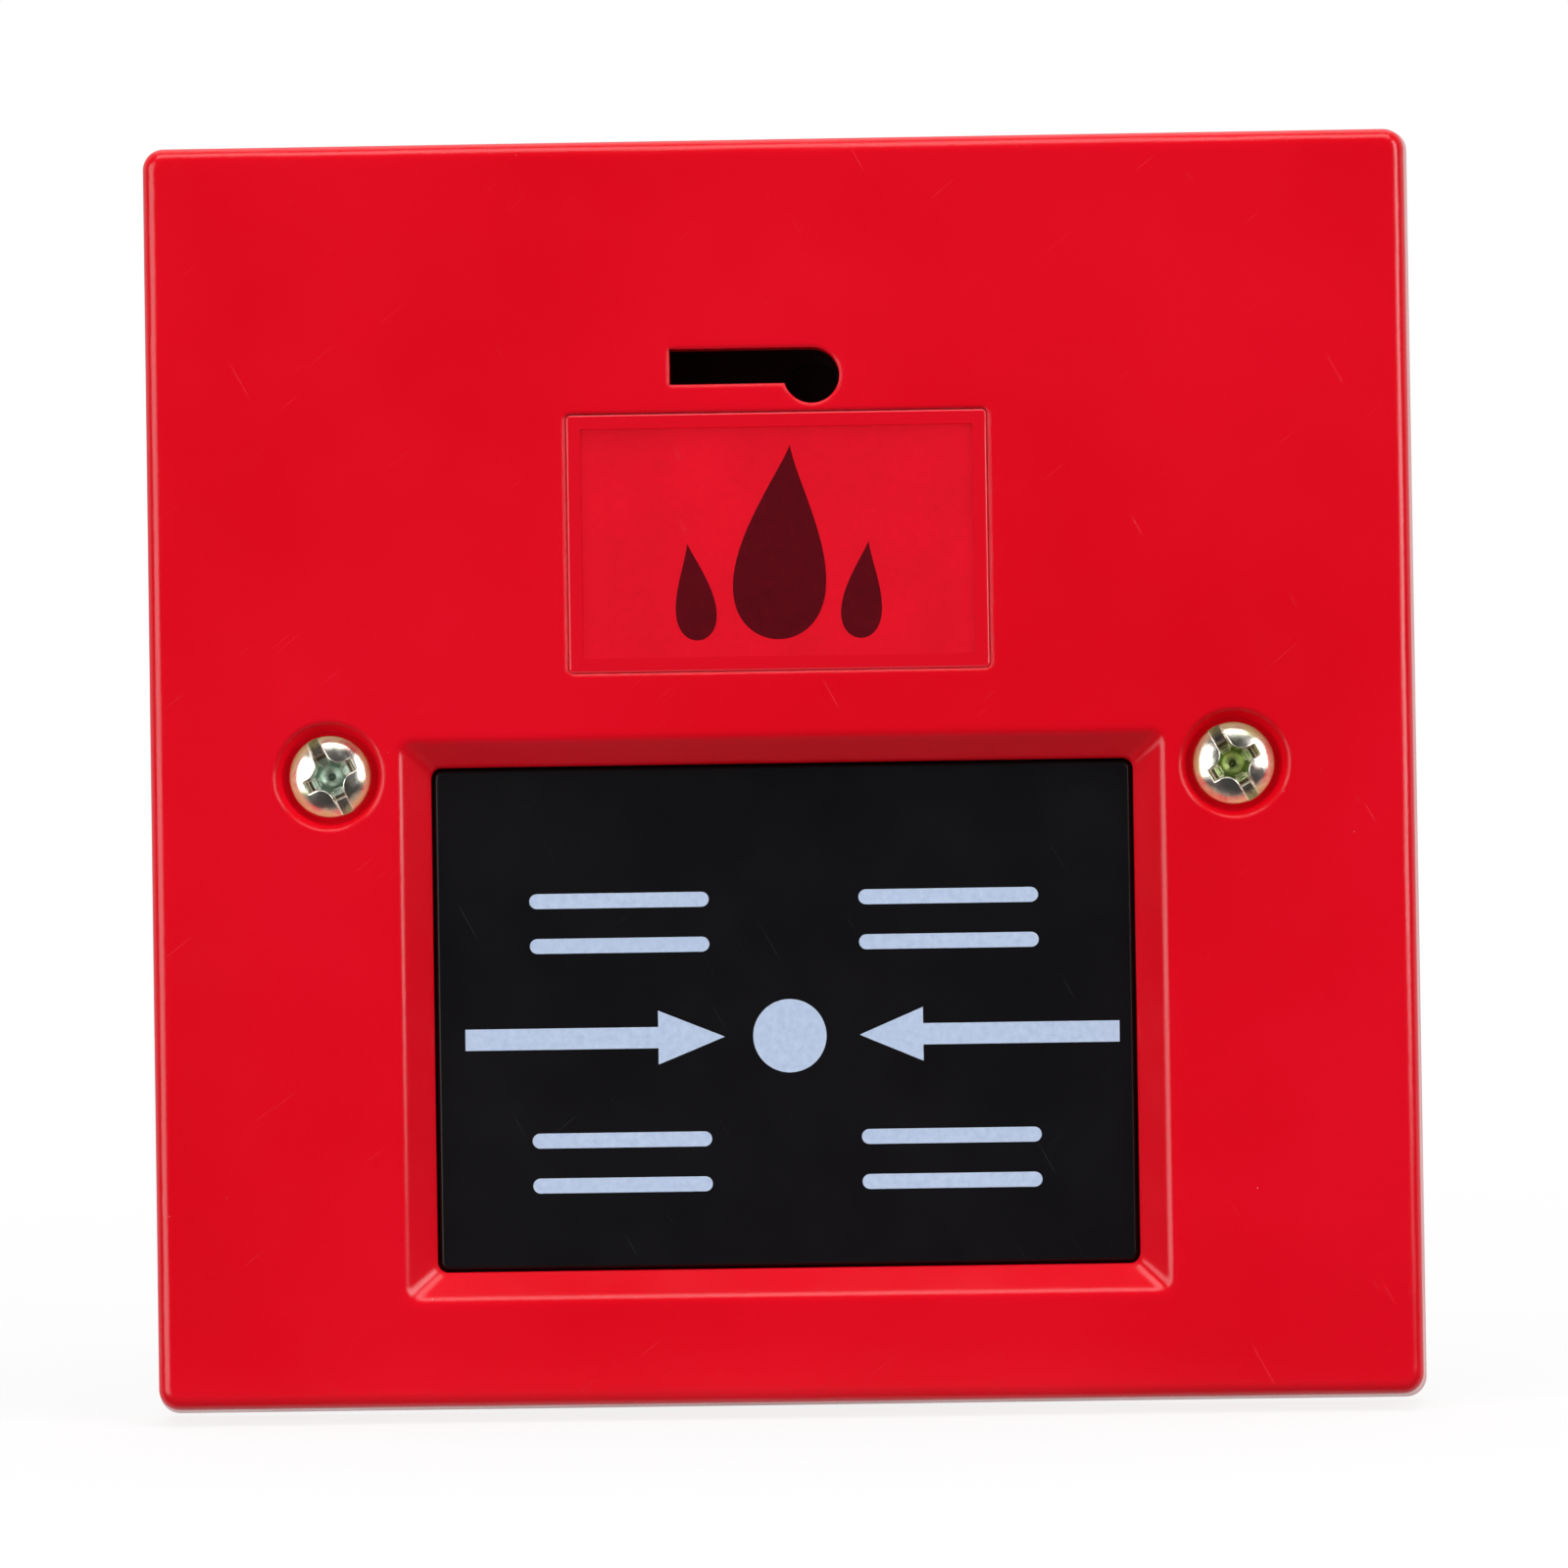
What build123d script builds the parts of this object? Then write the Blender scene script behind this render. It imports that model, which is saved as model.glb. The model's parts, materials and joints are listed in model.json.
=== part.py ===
from build123d import *
from math import cos, pi, radians, sin
import os

# Resettable manual call point for a flush wall box.
# Frame: X to the right as seen from the front, Y into the wall, Z up.
# Origin: the middle of the plate's rear rim, on the wall surface. All sizes are millimetres.

# Front plate
plate_size = 86.0
plate_depth = 9.0
wall = 2.0
plate_corner = 1.4
plate_edge = 1.0
plate_draft = 1.0
inner_corner = 0.8
boss_r = 3.0
boss_hole_front = -6.4
stiffener_thick = 1.2
stiffener_rear = -3.5
front_y = -plate_depth
wall_y = front_y + wall

# Press window and panel
window_width = 46.9
window_height = 33.7
window_z = -16.4
window_corner = 0.7
lip_width = 50.9
lip_height = 37.3
bevel_depth = 1.7
lip_round = 0.8
mouth_round = 0.35
collar_wall = 1.6
collar_end = -4.5
panel_front = -7.0
panel_gap = 0.15
panel_slab = 2.0
panel_wall = 1.4
panel_rear = -3.4
flange_step = 1.2
flange_thick = 1.0
travel = 4.0
panel_spring_x = 19.0
panel_spring_z = (-28.0, -5.4)

# Indicator lens and its light box
lens_width = 28.0
lens_height = 17.2
lens_z = 15.2
lens_gap = 0.05
lens_corner = 0.35
lens_flange_half = 15.5
lens_flange_low = 5.2
lens_front = 0.8
lens_pocket_width = 26.5
lens_pocket_height = 15.7
lens_rear = -6.0
film_thick = 0.2
box_wall = 1.0
box_end = 1.2

# Key slot: a flat blade beside a round shaft
slot_left = -7.05
slot_top = 28.1
slot_height = 2.38
slot_shaft_r = 1.86
slot_shaft_x = 2.4
slot_edge = 0.1
slot_shaft_z = slot_top - slot_shaft_r

# Fixing screws, on the standard centres of an 86 mm wall box
screw_centres = 60.3
counterbore_r = 3.55
counterbore_floor_r = 3.1
counterbore_round = 0.2
seat_y = -6.4
cup_r = 4.75
cup_floor = 1.2
spacer_r = 3.2
screw_hole_r = 2.1
head_r = 2.75
head_height = 2.2
relief_r = 1.45
thread_r = 1.75
thread_start = 0.5
thread_end = 19.0
left_slot_angle = -26.0
right_slot_angle = -29.5

# Chassis
skirt_half = 26.6
skirt_low = -36.2
skirt_high = 31.0
skirt_wall = 1.6
step_y = 1.0
step_thick = 1.2
box_half = 25.0
box_low = -33.8
box_rear = 23.0
shell = 1.6
floor_front = 4.4
floor_rear = 6.0
ear_x = 31.0
ear_z = 24.0
ear_front = -2.5
ear_thick = 1.6
self_tap_r = 1.15
self_tap_hole_r = 1.2

# Latch slider: it rises by rise while the panel goes in by travel
rise = 3.0
slide_gap = 0.15
slider_front = 2.0
slider_rear = 4.0
slider_half = 11.0
slider_low = -6.0
slider_top = 20.6
finger_top = 22.4
catch_top = -3.4
arm_half = 2.4
arm_top = 1.7
arm_under = catch_top + rise + slide_gap
barb_face = 1.4
barb_gap = 0.12
guide_front = 1.0
hook_rear = 1.85
pull_x = 6.5
pull_y = 3.0
pull_low_z = -1.1
pull_high_z = 7.1

# Lamps, board and terminals
led_x = 5.0
led_z = 15.4
led_r = 2.5
led_tip = -0.8
led_base = 7.8
lead_step = 1.27
lead_hole_r = 0.45
board_y = 9.0
board_thick = 1.6
board_rear = board_y + board_thick
board_half = 22.0
board_low = 3.6
board_high = 28.8
board_fix_x = 19.4
board_fix_z = (6.4, 25.8)
block_pitch = 5.08
block_ways = 4
block_half = block_pitch * block_ways / 2
block_low = 20.2
block_high = 28.7
block_rear = 21.0
cavity_low_y = 12.6
cavity_high_y = 16.8
cavity_depth = 6.4
clamp_z = 25.2
clamp_well_r = 1.95
pin_hole_r = 0.7
lying_part_rise = 1.3
can_x = 14.6
can_z = 8.4
can_r = 2.5

# Microswitch
switch_half = 10.0
switch_front = 8.0
switch_rear = 18.2
switch_low = -20.2
switch_high = -13.8
switch_mid = (switch_low + switch_high) / 2
switch_cover_thick = 0.8
pivot_x = -8.6
pivot_y = 7.2
trunnion_r = 0.5
lever_rest = 14.0
lever_half_width = 1.7
lever_thick = 0.4
lever_tip_x = 8.8
push_x = 6.8
push_end = 3.0
plunger_x = -4.0
plunger_r = 0.9
plunger_top = 6.42
blade_pivot_x = -6.4
blade_y = 12.6
contact_x = 6.4
switch_cavity_rear = 14.2
switch_hole_x = 4.75
switch_hole_y = 15.6
bracket_thick = 1.0
bracket_fix_x = 6.0
bracket_fix_z = -24.6

# Rear cover
cover_thick = 1.4
cover_lip = 1.2
cover_gap = 0.15
cover_column_x = 20.3
cover_column_z = (-29.0, -0.2)

screw_x = screw_centres / 2


def block(x0, x1, y0, y1, z0, z1):
    """A box between two corners."""
    sides = (x1 - x0, y1 - y0, z1 - z0)
    return Pos(x0, y0, z0) * Box(*sides, align=(Align.MIN, Align.MIN, Align.MIN))


def rod(radius, x, z, y0, y1):
    """A cylinder along Y."""
    upright = Cylinder(radius, y1 - y0, align=(Align.CENTER, Align.CENTER, Align.MIN))
    return Pos(x, y0, z) * Rot(-90, 0, 0) * upright


def rod_z(radius, x, y, z0, z1):
    """A cylinder along Z."""
    return Pos(x, y, z0) * Cylinder(
        radius, z1 - z0, align=(Align.CENTER, Align.CENTER, Align.MIN)
    )


def slab(sketch, y0, y1):
    """A sketch in X and Z, extruded from y0 to y1."""
    return extrude(Plane.XZ.offset(-y1) * sketch, amount=y1 - y0)


def rounded(width, height, corner, z=0.0, x=0.0):
    """A rounded rectangle in X and Z."""
    return Pos(x, z) * RectangleRounded(width, height, corner)


def taper(front, rear, y0, y1):
    """A solid between two sketches in X and Z, at y0 and y1."""
    faces = Sketch() + [Plane.XZ.offset(-y0) * front, Plane.XZ.offset(-y1) * rear]
    return loft(faces)


def keyhole():
    """The key's outline: a flat blade joined to a round shaft."""
    blade_width = slot_shaft_x - slot_left
    blade = Pos(slot_left + blade_width / 2, slot_top - slot_height / 2) * Rectangle(
        blade_width, slot_height
    )
    shaft = Pos(slot_shaft_x, slot_shaft_z) * Circle(slot_shaft_r)
    return blade + shaft


def corners(x, zs):
    """Places mirrored left and right, at each height."""
    return [(side * x, z) for z in zs for side in (-1, 1)]


def pan_screw(x, z, seat, shank_r, end_y, radius, height, turn):
    """A cross-recessed screw driven from +Y, with its shank towards -Y."""
    head = rod(radius, x, z, seat, seat + height)
    rim = head.edges().filter_by(GeomType.CIRCLE).sort_by(Axis.Y)[-1]
    head = fillet(rim, height * 0.55)
    shank = rod(shank_r, x, z, end_y, seat)
    shank = chamfer(shank.edges().filter_by(GeomType.CIRCLE).sort_by(Axis.Y)[0], 0.3)
    cut = Pos(x, seat + height, z) * Rot(0, turn, 0)
    recess = cut * Box(radius * 1.1, height * 1.1, radius * 0.26)
    recess += cut * Box(radius * 0.26, height * 1.1, radius * 1.1)
    return head + shank - recess


def drafted(inset, corner, y0, y1):
    """A square block set in from the plate's sides, which lean in by the draft at the front."""
    sketches = []
    for y in (y0, y1):
        side = plate_size - 2 * inset + 2 * plate_draft * y / plate_depth
        sketches.append(rounded(side, side, corner))
    return taper(*sketches, y0, y1)


def front_plate():
    outside = drafted(0, plate_corner, front_y, 0)
    front_edges = outside.faces().sort_by(Axis.Y)[0].edges()
    body = fillet(front_edges, plate_edge)
    body -= drafted(wall, inner_corner, wall_y, 0)

    collar_width = window_width + 2 * collar_wall
    collar_height = window_height + 2 * collar_wall
    collar = rounded(collar_width, collar_height, window_corner + collar_wall, window_z)
    body += slab(collar, wall_y, collar_end)
    for side in (-1, 1):
        x = side * screw_x
        body += rod(cup_r, x, 0, wall_y, seat_y + cup_floor)
        body += rod(spacer_r, x, 0, seat_y + cup_floor, -0.3)
    for x, z in corners(ear_x, (-ear_z, ear_z)):
        body += rod(boss_r, x, z, wall_y, ear_front - 0.1)
    body += stiffening_ribs()

    lip = rounded(lip_width, lip_height, window_corner, window_z)
    opening = rounded(window_width, window_height, window_corner, window_z)
    body -= taper(lip, opening, front_y, front_y + bevel_depth)
    body -= slab(opening, front_y, collar_end)
    face = body.faces().filter_by(Plane.XZ).sort_by(Axis.Y)[0]
    lip_wire = face.inner_wires()[0]
    body = fillet(lip_wire.edges(), lip_round)
    mouth = [e for e in body.edges() if is_window_mouth(e)]
    body = fillet(mouth, mouth_round)

    hole = rounded(lens_width + 2 * lens_gap, lens_height + 2 * lens_gap, lens_corner, lens_z)
    body -= slab(hole, front_y, wall_y)
    body -= slab(keyhole(), front_y, wall_y)
    body = fillet([e for e in body.edges() if is_slot_edge(e)], slot_edge)
    for side in (-1, 1):
        x = side * screw_x
        mouth = Sketch() + Pos(x, 0) * Circle(counterbore_r)
        seat = Sketch() + Pos(x, 0) * Circle(counterbore_floor_r)
        body -= taper(mouth, seat, front_y, seat_y)
        body -= rod(screw_hole_r, x, 0, seat_y, 0)
    for x, z in corners(ear_x, (-ear_z, ear_z)):
        body -= rod(self_tap_hole_r, x, z, boss_hole_front, ear_front)
    rims = [e for e in body.edges().filter_by(GeomType.CIRCLE) if is_front_rim(e)]
    return fillet(rims, counterbore_round)


def is_window_mouth(edge):
    """True for the edge where the window's bevel meets its straight wall."""
    box = edge.bounding_box()
    depth = front_y + bevel_depth
    return abs(box.min.Y - depth) < 0.001 and abs(box.max.Y - depth) < 0.001


def is_slot_edge(edge):
    """True for the key slot's outline on the front face."""
    box = edge.bounding_box()
    on_face = box.max.Y < front_y + 0.001
    near_slot = box.min.Z > slot_shaft_z - slot_shaft_r - 0.1 and box.max.Z < slot_top + 0.1
    return on_face and near_slot and abs(edge.center().X) < 8


def is_front_rim(edge):
    """True for the rim of a counterbore on the front face."""
    return abs(edge.radius - counterbore_r) < 0.01 and edge.center().Y < front_y + 0.01


def stiffening_ribs():
    """Thin ribs between the chassis and the side walls, behind the front wall."""
    half = plate_size / 2 - wall
    thick = stiffener_thick
    ribs = []
    for x in (-22.0, 0.0, 22.0):
        ribs.append(block(x - thick / 2, x + thick / 2, wall_y, stiffener_rear, 32.0, half))
    for x in (-22.0, 22.0):
        ribs.append(block(x - thick / 2, x + thick / 2, wall_y, stiffener_rear, -half, -37.2))
    for z in (-33.0, -12.0, 12.0, 33.0):
        for x0, x1 in ((-half, -27.6), (27.6, half)):
            ribs.append(block(x0, x1, wall_y, stiffener_rear, z - thick / 2, z + thick / 2))
    return ribs


def indicator_lens():
    plug = slab(rounded(lens_width, lens_height, 0.3, lens_z), front_y, lens_rear)
    plug = fillet(plug.faces().sort_by(Axis.Y)[0].edges(), 0.15)
    flange = block(
        -lens_flange_half, lens_flange_half, wall_y, lens_rear, lens_flange_low, lens_z + lens_height / 2
    )
    pocket = rounded(lens_pocket_width, lens_pocket_height, 0.5, lens_z)
    return plug + flange - slab(pocket, front_y + lens_front, lens_rear)


def legend_film():
    outline = rounded(lens_pocket_width - 0.2, lens_pocket_height - 0.2, 0.5, lens_z)
    front = front_y + lens_front + 0.02
    return slab(outline, front, front + film_thick)


def light_box():
    spigot_front = front_y + lens_front + film_thick + 0.05
    flange_front = lens_rear + 0.02
    flange_rear = -4.9
    spigot = rounded(lens_pocket_width - 0.3, lens_pocket_height - 0.3, 0.5, lens_z)
    body = slab(spigot, spigot_front, flange_rear)
    low, high = lens_flange_low + 0.1, lens_z + lens_height / 2
    body += block(-lens_flange_half, lens_flange_half, flange_front, flange_rear, low, high)
    mouth = rounded(26.2, 15.8, 0.6, lens_z)
    throat = rounded(19.2, 10.4, 0.6, led_z)
    body += taper(mouth, throat, flange_rear, box_end)
    inner_mouth = rounded(24.2, 13.4, 0.5, lens_z)
    inner_throat = rounded(17.2, 8.4, 0.5, led_z)
    body -= slab(inner_mouth, spigot_front, flange_rear)
    body -= taper(inner_mouth, inner_throat, flange_rear, box_end - box_wall)
    for side in (-1, 1):
        body -= rod(led_r + 0.2, side * led_x, led_z, -1.0, box_end)
    return body


def barb():
    """The latch barb on the panel's arm: a ramp that drops to the tip, with a square face."""
    slope = rise / travel
    ramp_high = catch_top + barb_gap + slope * (slider_rear - barb_face)
    ramp_low = catch_top + barb_gap
    tip = slider_rear + 0.6
    outline = Polyline(
        (panel_rear, arm_under),
        (barb_face, arm_under),
        (barb_face, ramp_high),
        (slider_rear, ramp_low),
        (tip, ramp_low),
        (tip, arm_top - 0.8),
        (tip - 0.8, arm_top),
        (panel_rear, arm_top),
        close=True,
    )
    profile = Plane.YZ.offset(-arm_half) * make_face(outline)
    return extrude(profile, amount=2 * arm_half)


def press_panel():
    width = window_width - 2 * panel_gap
    height = window_height - 2 * panel_gap
    outline = rounded(width, height, window_corner - panel_gap, window_z)
    body = slab(outline, panel_front, panel_rear)
    body = fillet(body.faces().sort_by(Axis.Y)[0].edges(), 0.3)
    flange = rounded(width + 2 * flange_step, height + 2 * flange_step, 1.2, window_z)
    body += slab(flange, panel_rear - flange_thick, panel_rear)
    hollow = rounded(width - 2 * panel_wall, height - 2 * panel_wall, 0.8, window_z)
    slab_rear = panel_front + panel_slab
    body -= slab(hollow, slab_rear, panel_rear)
    rib_rear = panel_rear - 0.4
    left, right = -width / 2 + 1, width / 2 - 1
    low, high = window_z - height / 2 + 1, window_z + height / 2 - 1
    for x in (-12.0, 12.0):
        body += block(x - 0.5, x + 0.5, slab_rear, rib_rear, low, high)
    body += block(left, right, slab_rear, rib_rear, switch_mid - 0.5, switch_mid + 0.5)
    for x, z in panel_spring_places():
        body += rod(3.6, x, z, slab_rear, -2.0)
        body -= rod(2.7, x, z, slab_rear, -2.0)
    body += push_rod(slab_rear)
    return body + barb()


def push_rod(start):
    """The round-ended rod that works the microswitch lever."""
    radius = 1.6
    stem = rod(radius, push_x, switch_mid, start, push_end)
    return fillet(stem.edges().filter_by(GeomType.CIRCLE).sort_by(Axis.Y)[-1], 1.2)


def panel_spring_places():
    return corners(panel_spring_x, panel_spring_z)


def coil(radius, wire, turns, length, per_turn=10, flat_turns=1.0):
    """Points of a compression coil along +Z, with its first and last turns closed up."""
    pitch = (length - wire * (2 * flat_turns + 1)) / (turns - 2 * flat_turns)
    points = []
    for i in range(int(turns * per_turn) + 1):
        turn = i / per_turn
        closed = min(turn, flat_turns) + max(0.0, turn - (turns - flat_turns))
        z = wire / 2 + closed * wire + (turn - closed) * pitch
        angle = 2 * pi * turn
        points.append((radius * cos(angle), radius * sin(angle), z))
    return points


def wire_along(points, radius, ends=()):
    """A round wire swept along a smooth path through points, with its end directions if given."""
    path = Spline(*points, tangents=ends)
    start = path @ 0
    section = Plane(origin=start, z_dir=path % 0) * Circle(radius)
    return sweep(section, path=path, is_frenet=True)


def panel_springs():
    """Four springs between the panel's sockets and the chassis floor."""
    wire = 0.5
    slab_rear = panel_front + panel_slab
    length = floor_front - slab_rear - 0.04
    one = wire_along(coil(2.15, wire, 7, length), wire / 2)
    return [
        Pos(x, slab_rear + 0.02, z) * Rot(-90, 0, 0) * one
        for x, z in panel_spring_places()
    ]


def pull_coil():
    """Points of a tension spring in its own frame: the coil's axis is Z, and both loops lie in X and Z."""
    radius = 1.15
    steps = 10
    span = pull_high_z - pull_low_z
    gap = radius + 0.35
    turns = 9
    low = gap
    high = span - gap
    points = []
    for i in range(8):
        angle = radians(-250 + 250 * i / 8)
        points.append((radius * cos(angle), 0, radius * sin(angle)))
    for i in range(turns * steps + 1):
        turn = i / steps
        z = low + (high - low) * turn / turns
        points.append((radius * cos(2 * pi * turn), radius * sin(2 * pi * turn), z))
    for i in range(1, 9):
        angle = radians(250 * i / 8)
        points.append((radius * cos(angle), 0, span + radius * sin(angle)))
    return points


def latch_springs():
    """Two tension springs that pull the slider up towards pegs on the chassis."""
    one = wire_along(pull_coil(), 0.15)
    return [Pos(side * pull_x, pull_y, pull_low_z) * one for side in (-1, 1)]


def latch_slider():
    body = block(-slider_half, slider_half, slider_front, slider_rear, slider_low, slider_top)
    body += block(-9.5, -1.0, slider_front, slider_rear, slider_top, finger_top)
    body -= block(-8.0, 8.0, slider_front, slider_rear, 9.4, 18.4)
    body -= block(-3.0, 3.0, slider_front, slider_rear, catch_top, 2.6)
    for side in (-1, 1):
        low_x, high_x = sorted((side * 4.4, side * 8.6))
        body -= block(low_x, high_x, slider_front, slider_rear, -2.6, 8.6)
        body += block(low_x, high_x, slider_rear - 0.6, slider_rear, -2.6, pull_low_z + 0.2)
        body += rod(0.5, side * pull_x, pull_low_z - 0.4, slider_front, slider_rear)
    outline = body.edges().filter_by(Axis.Y)
    outer = [e for e in outline if abs(e.center().X) > slider_half - 0.01]
    return fillet(outer, 0.8)


def chassis():
    body = chassis_shell()
    body += chassis_floor()
    body += slider_guides()
    for x, z in corners(ear_x, (-ear_z, ear_z)):
        body += ear(x, z)
        body -= rod(self_tap_hole_r + 0.3, x, z, ear_front, ear_front + ear_thick)
    column_end = box_rear - 0.2
    for x, z in corners(cover_column_x, cover_column_z):
        body += rod(2.8, x, z, floor_rear, column_end)
        body -= rod(self_tap_hole_r, x, z, 12.0, column_end)
    for x, z in corners(board_fix_x, board_fix_z):
        body += rod(2.6, x, z, floor_rear, board_y)
        body -= rod(self_tap_hole_r, x, z, floor_front + 0.6, board_y)
    for side in (-1, 1):
        body += rod(2.4, side * bracket_fix_x, bracket_fix_z, 1.5, floor_front)
        body -= rod(self_tap_hole_r, side * bracket_fix_x, bracket_fix_z, 2.4, floor_rear)
    notch = block_half + 0.4
    body -= block(-notch, notch, board_rear - 0.2, box_rear, 29.0, skirt_high)
    return body


def chassis_shell():
    """The skirt behind the plate, the step and the walls that go into the wall box."""
    height = skirt_high - skirt_low
    middle = (skirt_high + skirt_low) / 2
    outside = rounded(2 * skirt_half, height, 2.0, middle)
    inside = rounded(
        2 * (skirt_half - skirt_wall), height - 2 * skirt_wall, 1.0, middle
    )
    rear_height = skirt_high - box_low
    rear_middle = (skirt_high + box_low) / 2
    rear = rounded(2 * box_half, rear_height, 2.0, rear_middle)
    rear_inside = rounded(
        2 * (box_half - shell), rear_height - 2 * shell, 1.0, rear_middle
    )
    body = slab(outside, collar_end, step_y + step_thick)
    body += slab(rear, step_y, box_rear)
    body -= slab(inside, collar_end, step_y)
    body -= slab(rear_inside, step_y, box_rear)
    return body


def chassis_floor():
    """The partition between the mechanism in front and the wiring behind."""
    height = skirt_high - box_low - 2 * shell
    middle = (skirt_high + box_low) / 2
    body = slab(
        rounded(2 * (box_half - shell) + 0.2, height + 0.2, 1.0, middle),
        floor_front,
        floor_rear,
    )
    body -= block(-3.2, 3.2, floor_front, floor_rear, -3.9, 2.3)
    body -= block(-10.8, 10.8, floor_front, floor_rear, -20.5, -13.5)
    for side in (-1, 1):
        body -= rod(led_r + 0.25, side * led_x, led_z, floor_front, floor_rear)
        body += rod(0.6, side * pull_x, pull_high_z + 0.3, slider_front, floor_front)
        rail_x = side * 9.9
        body += block(
            rail_x - 0.6, rail_x + 0.6, floor_front - 0.3, floor_front, -7.0, 24.0
        )
    for x, z in panel_spring_places():
        body += rod(1.6, x, z, 1.4, floor_front)
    body -= rod(slot_shaft_r + 0.1, slot_shaft_x, slot_shaft_z, floor_front, 5.6)
    for x in (-14.6, 14.6):
        for z in (8.0, 21.0):
            body += block(x - 0.7, x + 0.7, -4.88, floor_front, z - 1.5, z + 1.5)
    return body


def slider_guides():
    """Side rails with short hooks that keep the slider on the floor."""
    inner = slider_half + slide_gap
    parts = []
    for side in (-1, 1):
        low_x, high_x = sorted((side * inner, side * (inner + 1.6)))
        parts.append(block(low_x, high_x, guide_front, floor_front, -6.4, 24.0))
        hook_low, hook_high = sorted((side * (inner - 1.1), side * inner))
        for z in (3.0, 19.0):
            parts.append(
                block(hook_low, hook_high, guide_front, hook_rear, z, z + 3.0)
            )
    return parts


def ear(x, z):
    """A lug from the skirt to a plate boss."""
    root = skirt_half - 0.2
    side = 1 if x > 0 else -1
    low_x, high_x = sorted((side * root, x))
    rear = ear_front + ear_thick
    return block(low_x, high_x, ear_front, rear, z - 3.4, z + 3.4) + rod(
        3.4, x, z, ear_front, rear
    )


def chassis_screws():
    seat = ear_front + ear_thick
    return [
        pan_screw(x, z, seat, self_tap_r, -6.0, 2.6, 1.8, 20 * i)
        for i, (x, z) in enumerate(corners(ear_x, (-ear_z, ear_z)))
    ]


def rear_cover():
    height = skirt_high - box_low
    middle = (skirt_high + box_low) / 2
    plate = slab(
        rounded(2 * box_half, height, 2.0, middle), box_rear, box_rear + cover_thick
    )
    plate = fillet(plate.faces().sort_by(Axis.Y)[-1].edges(), 0.6)
    lip_half = box_half - shell - cover_gap
    lip_height = height - 2 * shell - 2 * cover_gap
    lip = slab(
        rounded(2 * lip_half, lip_height, 0.9, middle), box_rear - cover_lip, box_rear
    )
    lip -= slab(
        rounded(2 * lip_half - 2.4, lip_height - 2.4, 0.6, middle),
        box_rear - cover_lip,
        box_rear,
    )
    for x, z in corners(cover_column_x, cover_column_z):
        lip -= rod(3.1, x, z, box_rear - cover_lip, box_rear)
    body = plate + lip
    notch = block_half + 0.6
    body -= block(
        -notch, notch, box_rear - cover_lip, box_rear + cover_thick, 19.4, skirt_high
    )
    for x, z in corners(cover_column_x, cover_column_z):
        body += rod(2.6, x, z, box_rear - 0.15, box_rear)
        body -= rod(
            self_tap_hole_r + 0.3, x, z, box_rear - 0.2, box_rear + cover_thick
        )
    for i in range(5):
        x = -12.0 + 6.0 * i
        vent = Pos(x, -10.0) * SlotOverall(12.0, 1.6, rotation=90)
        body -= slab(vent, box_rear, box_rear + cover_thick)
    return body


def cover_screws():
    seat = box_rear + cover_thick
    return [
        pan_screw(x, z, seat, self_tap_r, 14.0, 2.4, 1.7, 15 + 25 * i)
        for i, (x, z) in enumerate(corners(cover_column_x, cover_column_z))
    ]


def fixing_screw(x, turn):
    """A domed head with a full slot and a short cross, on a relieved shank with a threaded end."""
    sphere_r = (head_r**2 + 1.1**2) / (2 * 1.1)
    top = seat_y - head_height
    head = rod(head_r, x, 0, top, seat_y)
    dome = Pos(x, top + sphere_r, 0) * Sphere(sphere_r)
    head = head & dome
    place = Pos(x, top, 0) * Rot(0, turn, 0)
    recess = place * Box(0.85, 2.2, 2 * head_r + 1)
    recess += place * Box(4.0, 2.4, 0.85)
    cone = Cone(1.45, 0.3, 1.9, align=(Align.CENTER, Align.CENTER, Align.MIN))
    recess += place * Rot(-90, 0, 0) * cone
    shank = rod(relief_r, x, 0, seat_y, thread_start)
    thread = rod(thread_r, x, 0, thread_start, thread_end)
    ends = thread.edges().filter_by(GeomType.CIRCLE)
    thread = chamfer(ends, 0.3)
    return head - recess + shank + thread


def fixing_screws():
    return [
        fixing_screw(-screw_x, left_slot_angle),
        fixing_screw(screw_x, right_slot_angle),
    ]


def circuit_board():
    middle = (board_low + board_high) / 2
    outline = rounded(2 * board_half, board_high - board_low, 1.0, middle)
    body = slab(outline, board_y, board_rear)
    for x, z in corners(board_fix_x, board_fix_z):
        body -= rod(1.4, x, z, board_y, board_rear)
    for x, z in lead_places():
        body -= rod(lead_hole_r, x, z, board_y, board_rear)
    for x in terminal_places():
        body -= rod(pin_hole_r, x, clamp_z, board_y, board_rear)
    return body


def lead_places():
    return [
        (side * led_x + step, led_z) for side in (-1, 1) for step in (-lead_step, lead_step)
    ]


def terminal_places():
    first = -block_half + block_pitch / 2
    return [first + i * block_pitch for i in range(block_ways)]


def board_screws():
    return [
        pan_screw(x, z, board_rear, self_tap_r, 5.6, 2.3, 1.6, 33 * i)
        for i, (x, z) in enumerate(corners(board_fix_x, board_fix_z))
    ]


def indicator_leds():
    leds = []
    for side in (-1, 1):
        x = side * led_x
        body = rod(led_r, x, led_z, led_tip + led_r, led_base)
        body += Pos(x, led_tip + led_r, led_z) * Sphere(led_r)
        body += rod(2.9, x, led_z, led_base - 1.0, led_base)
        leds.append(body)
    return leds


def led_leads():
    half = 0.25
    return [
        block(x - half, x + half, led_base, board_rear + 1.0, z - half, z + half)
        for x, z in lead_places()
    ]


def led_spacers():
    spacers = []
    for side in (-1, 1):
        body = rod(2.6, side * led_x, led_z, led_base, board_y)
        for step in (-lead_step, lead_step):
            body -= rod(lead_hole_r, side * led_x + step, led_z, led_base, board_y)
        spacers.append(body)
    return spacers


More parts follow.
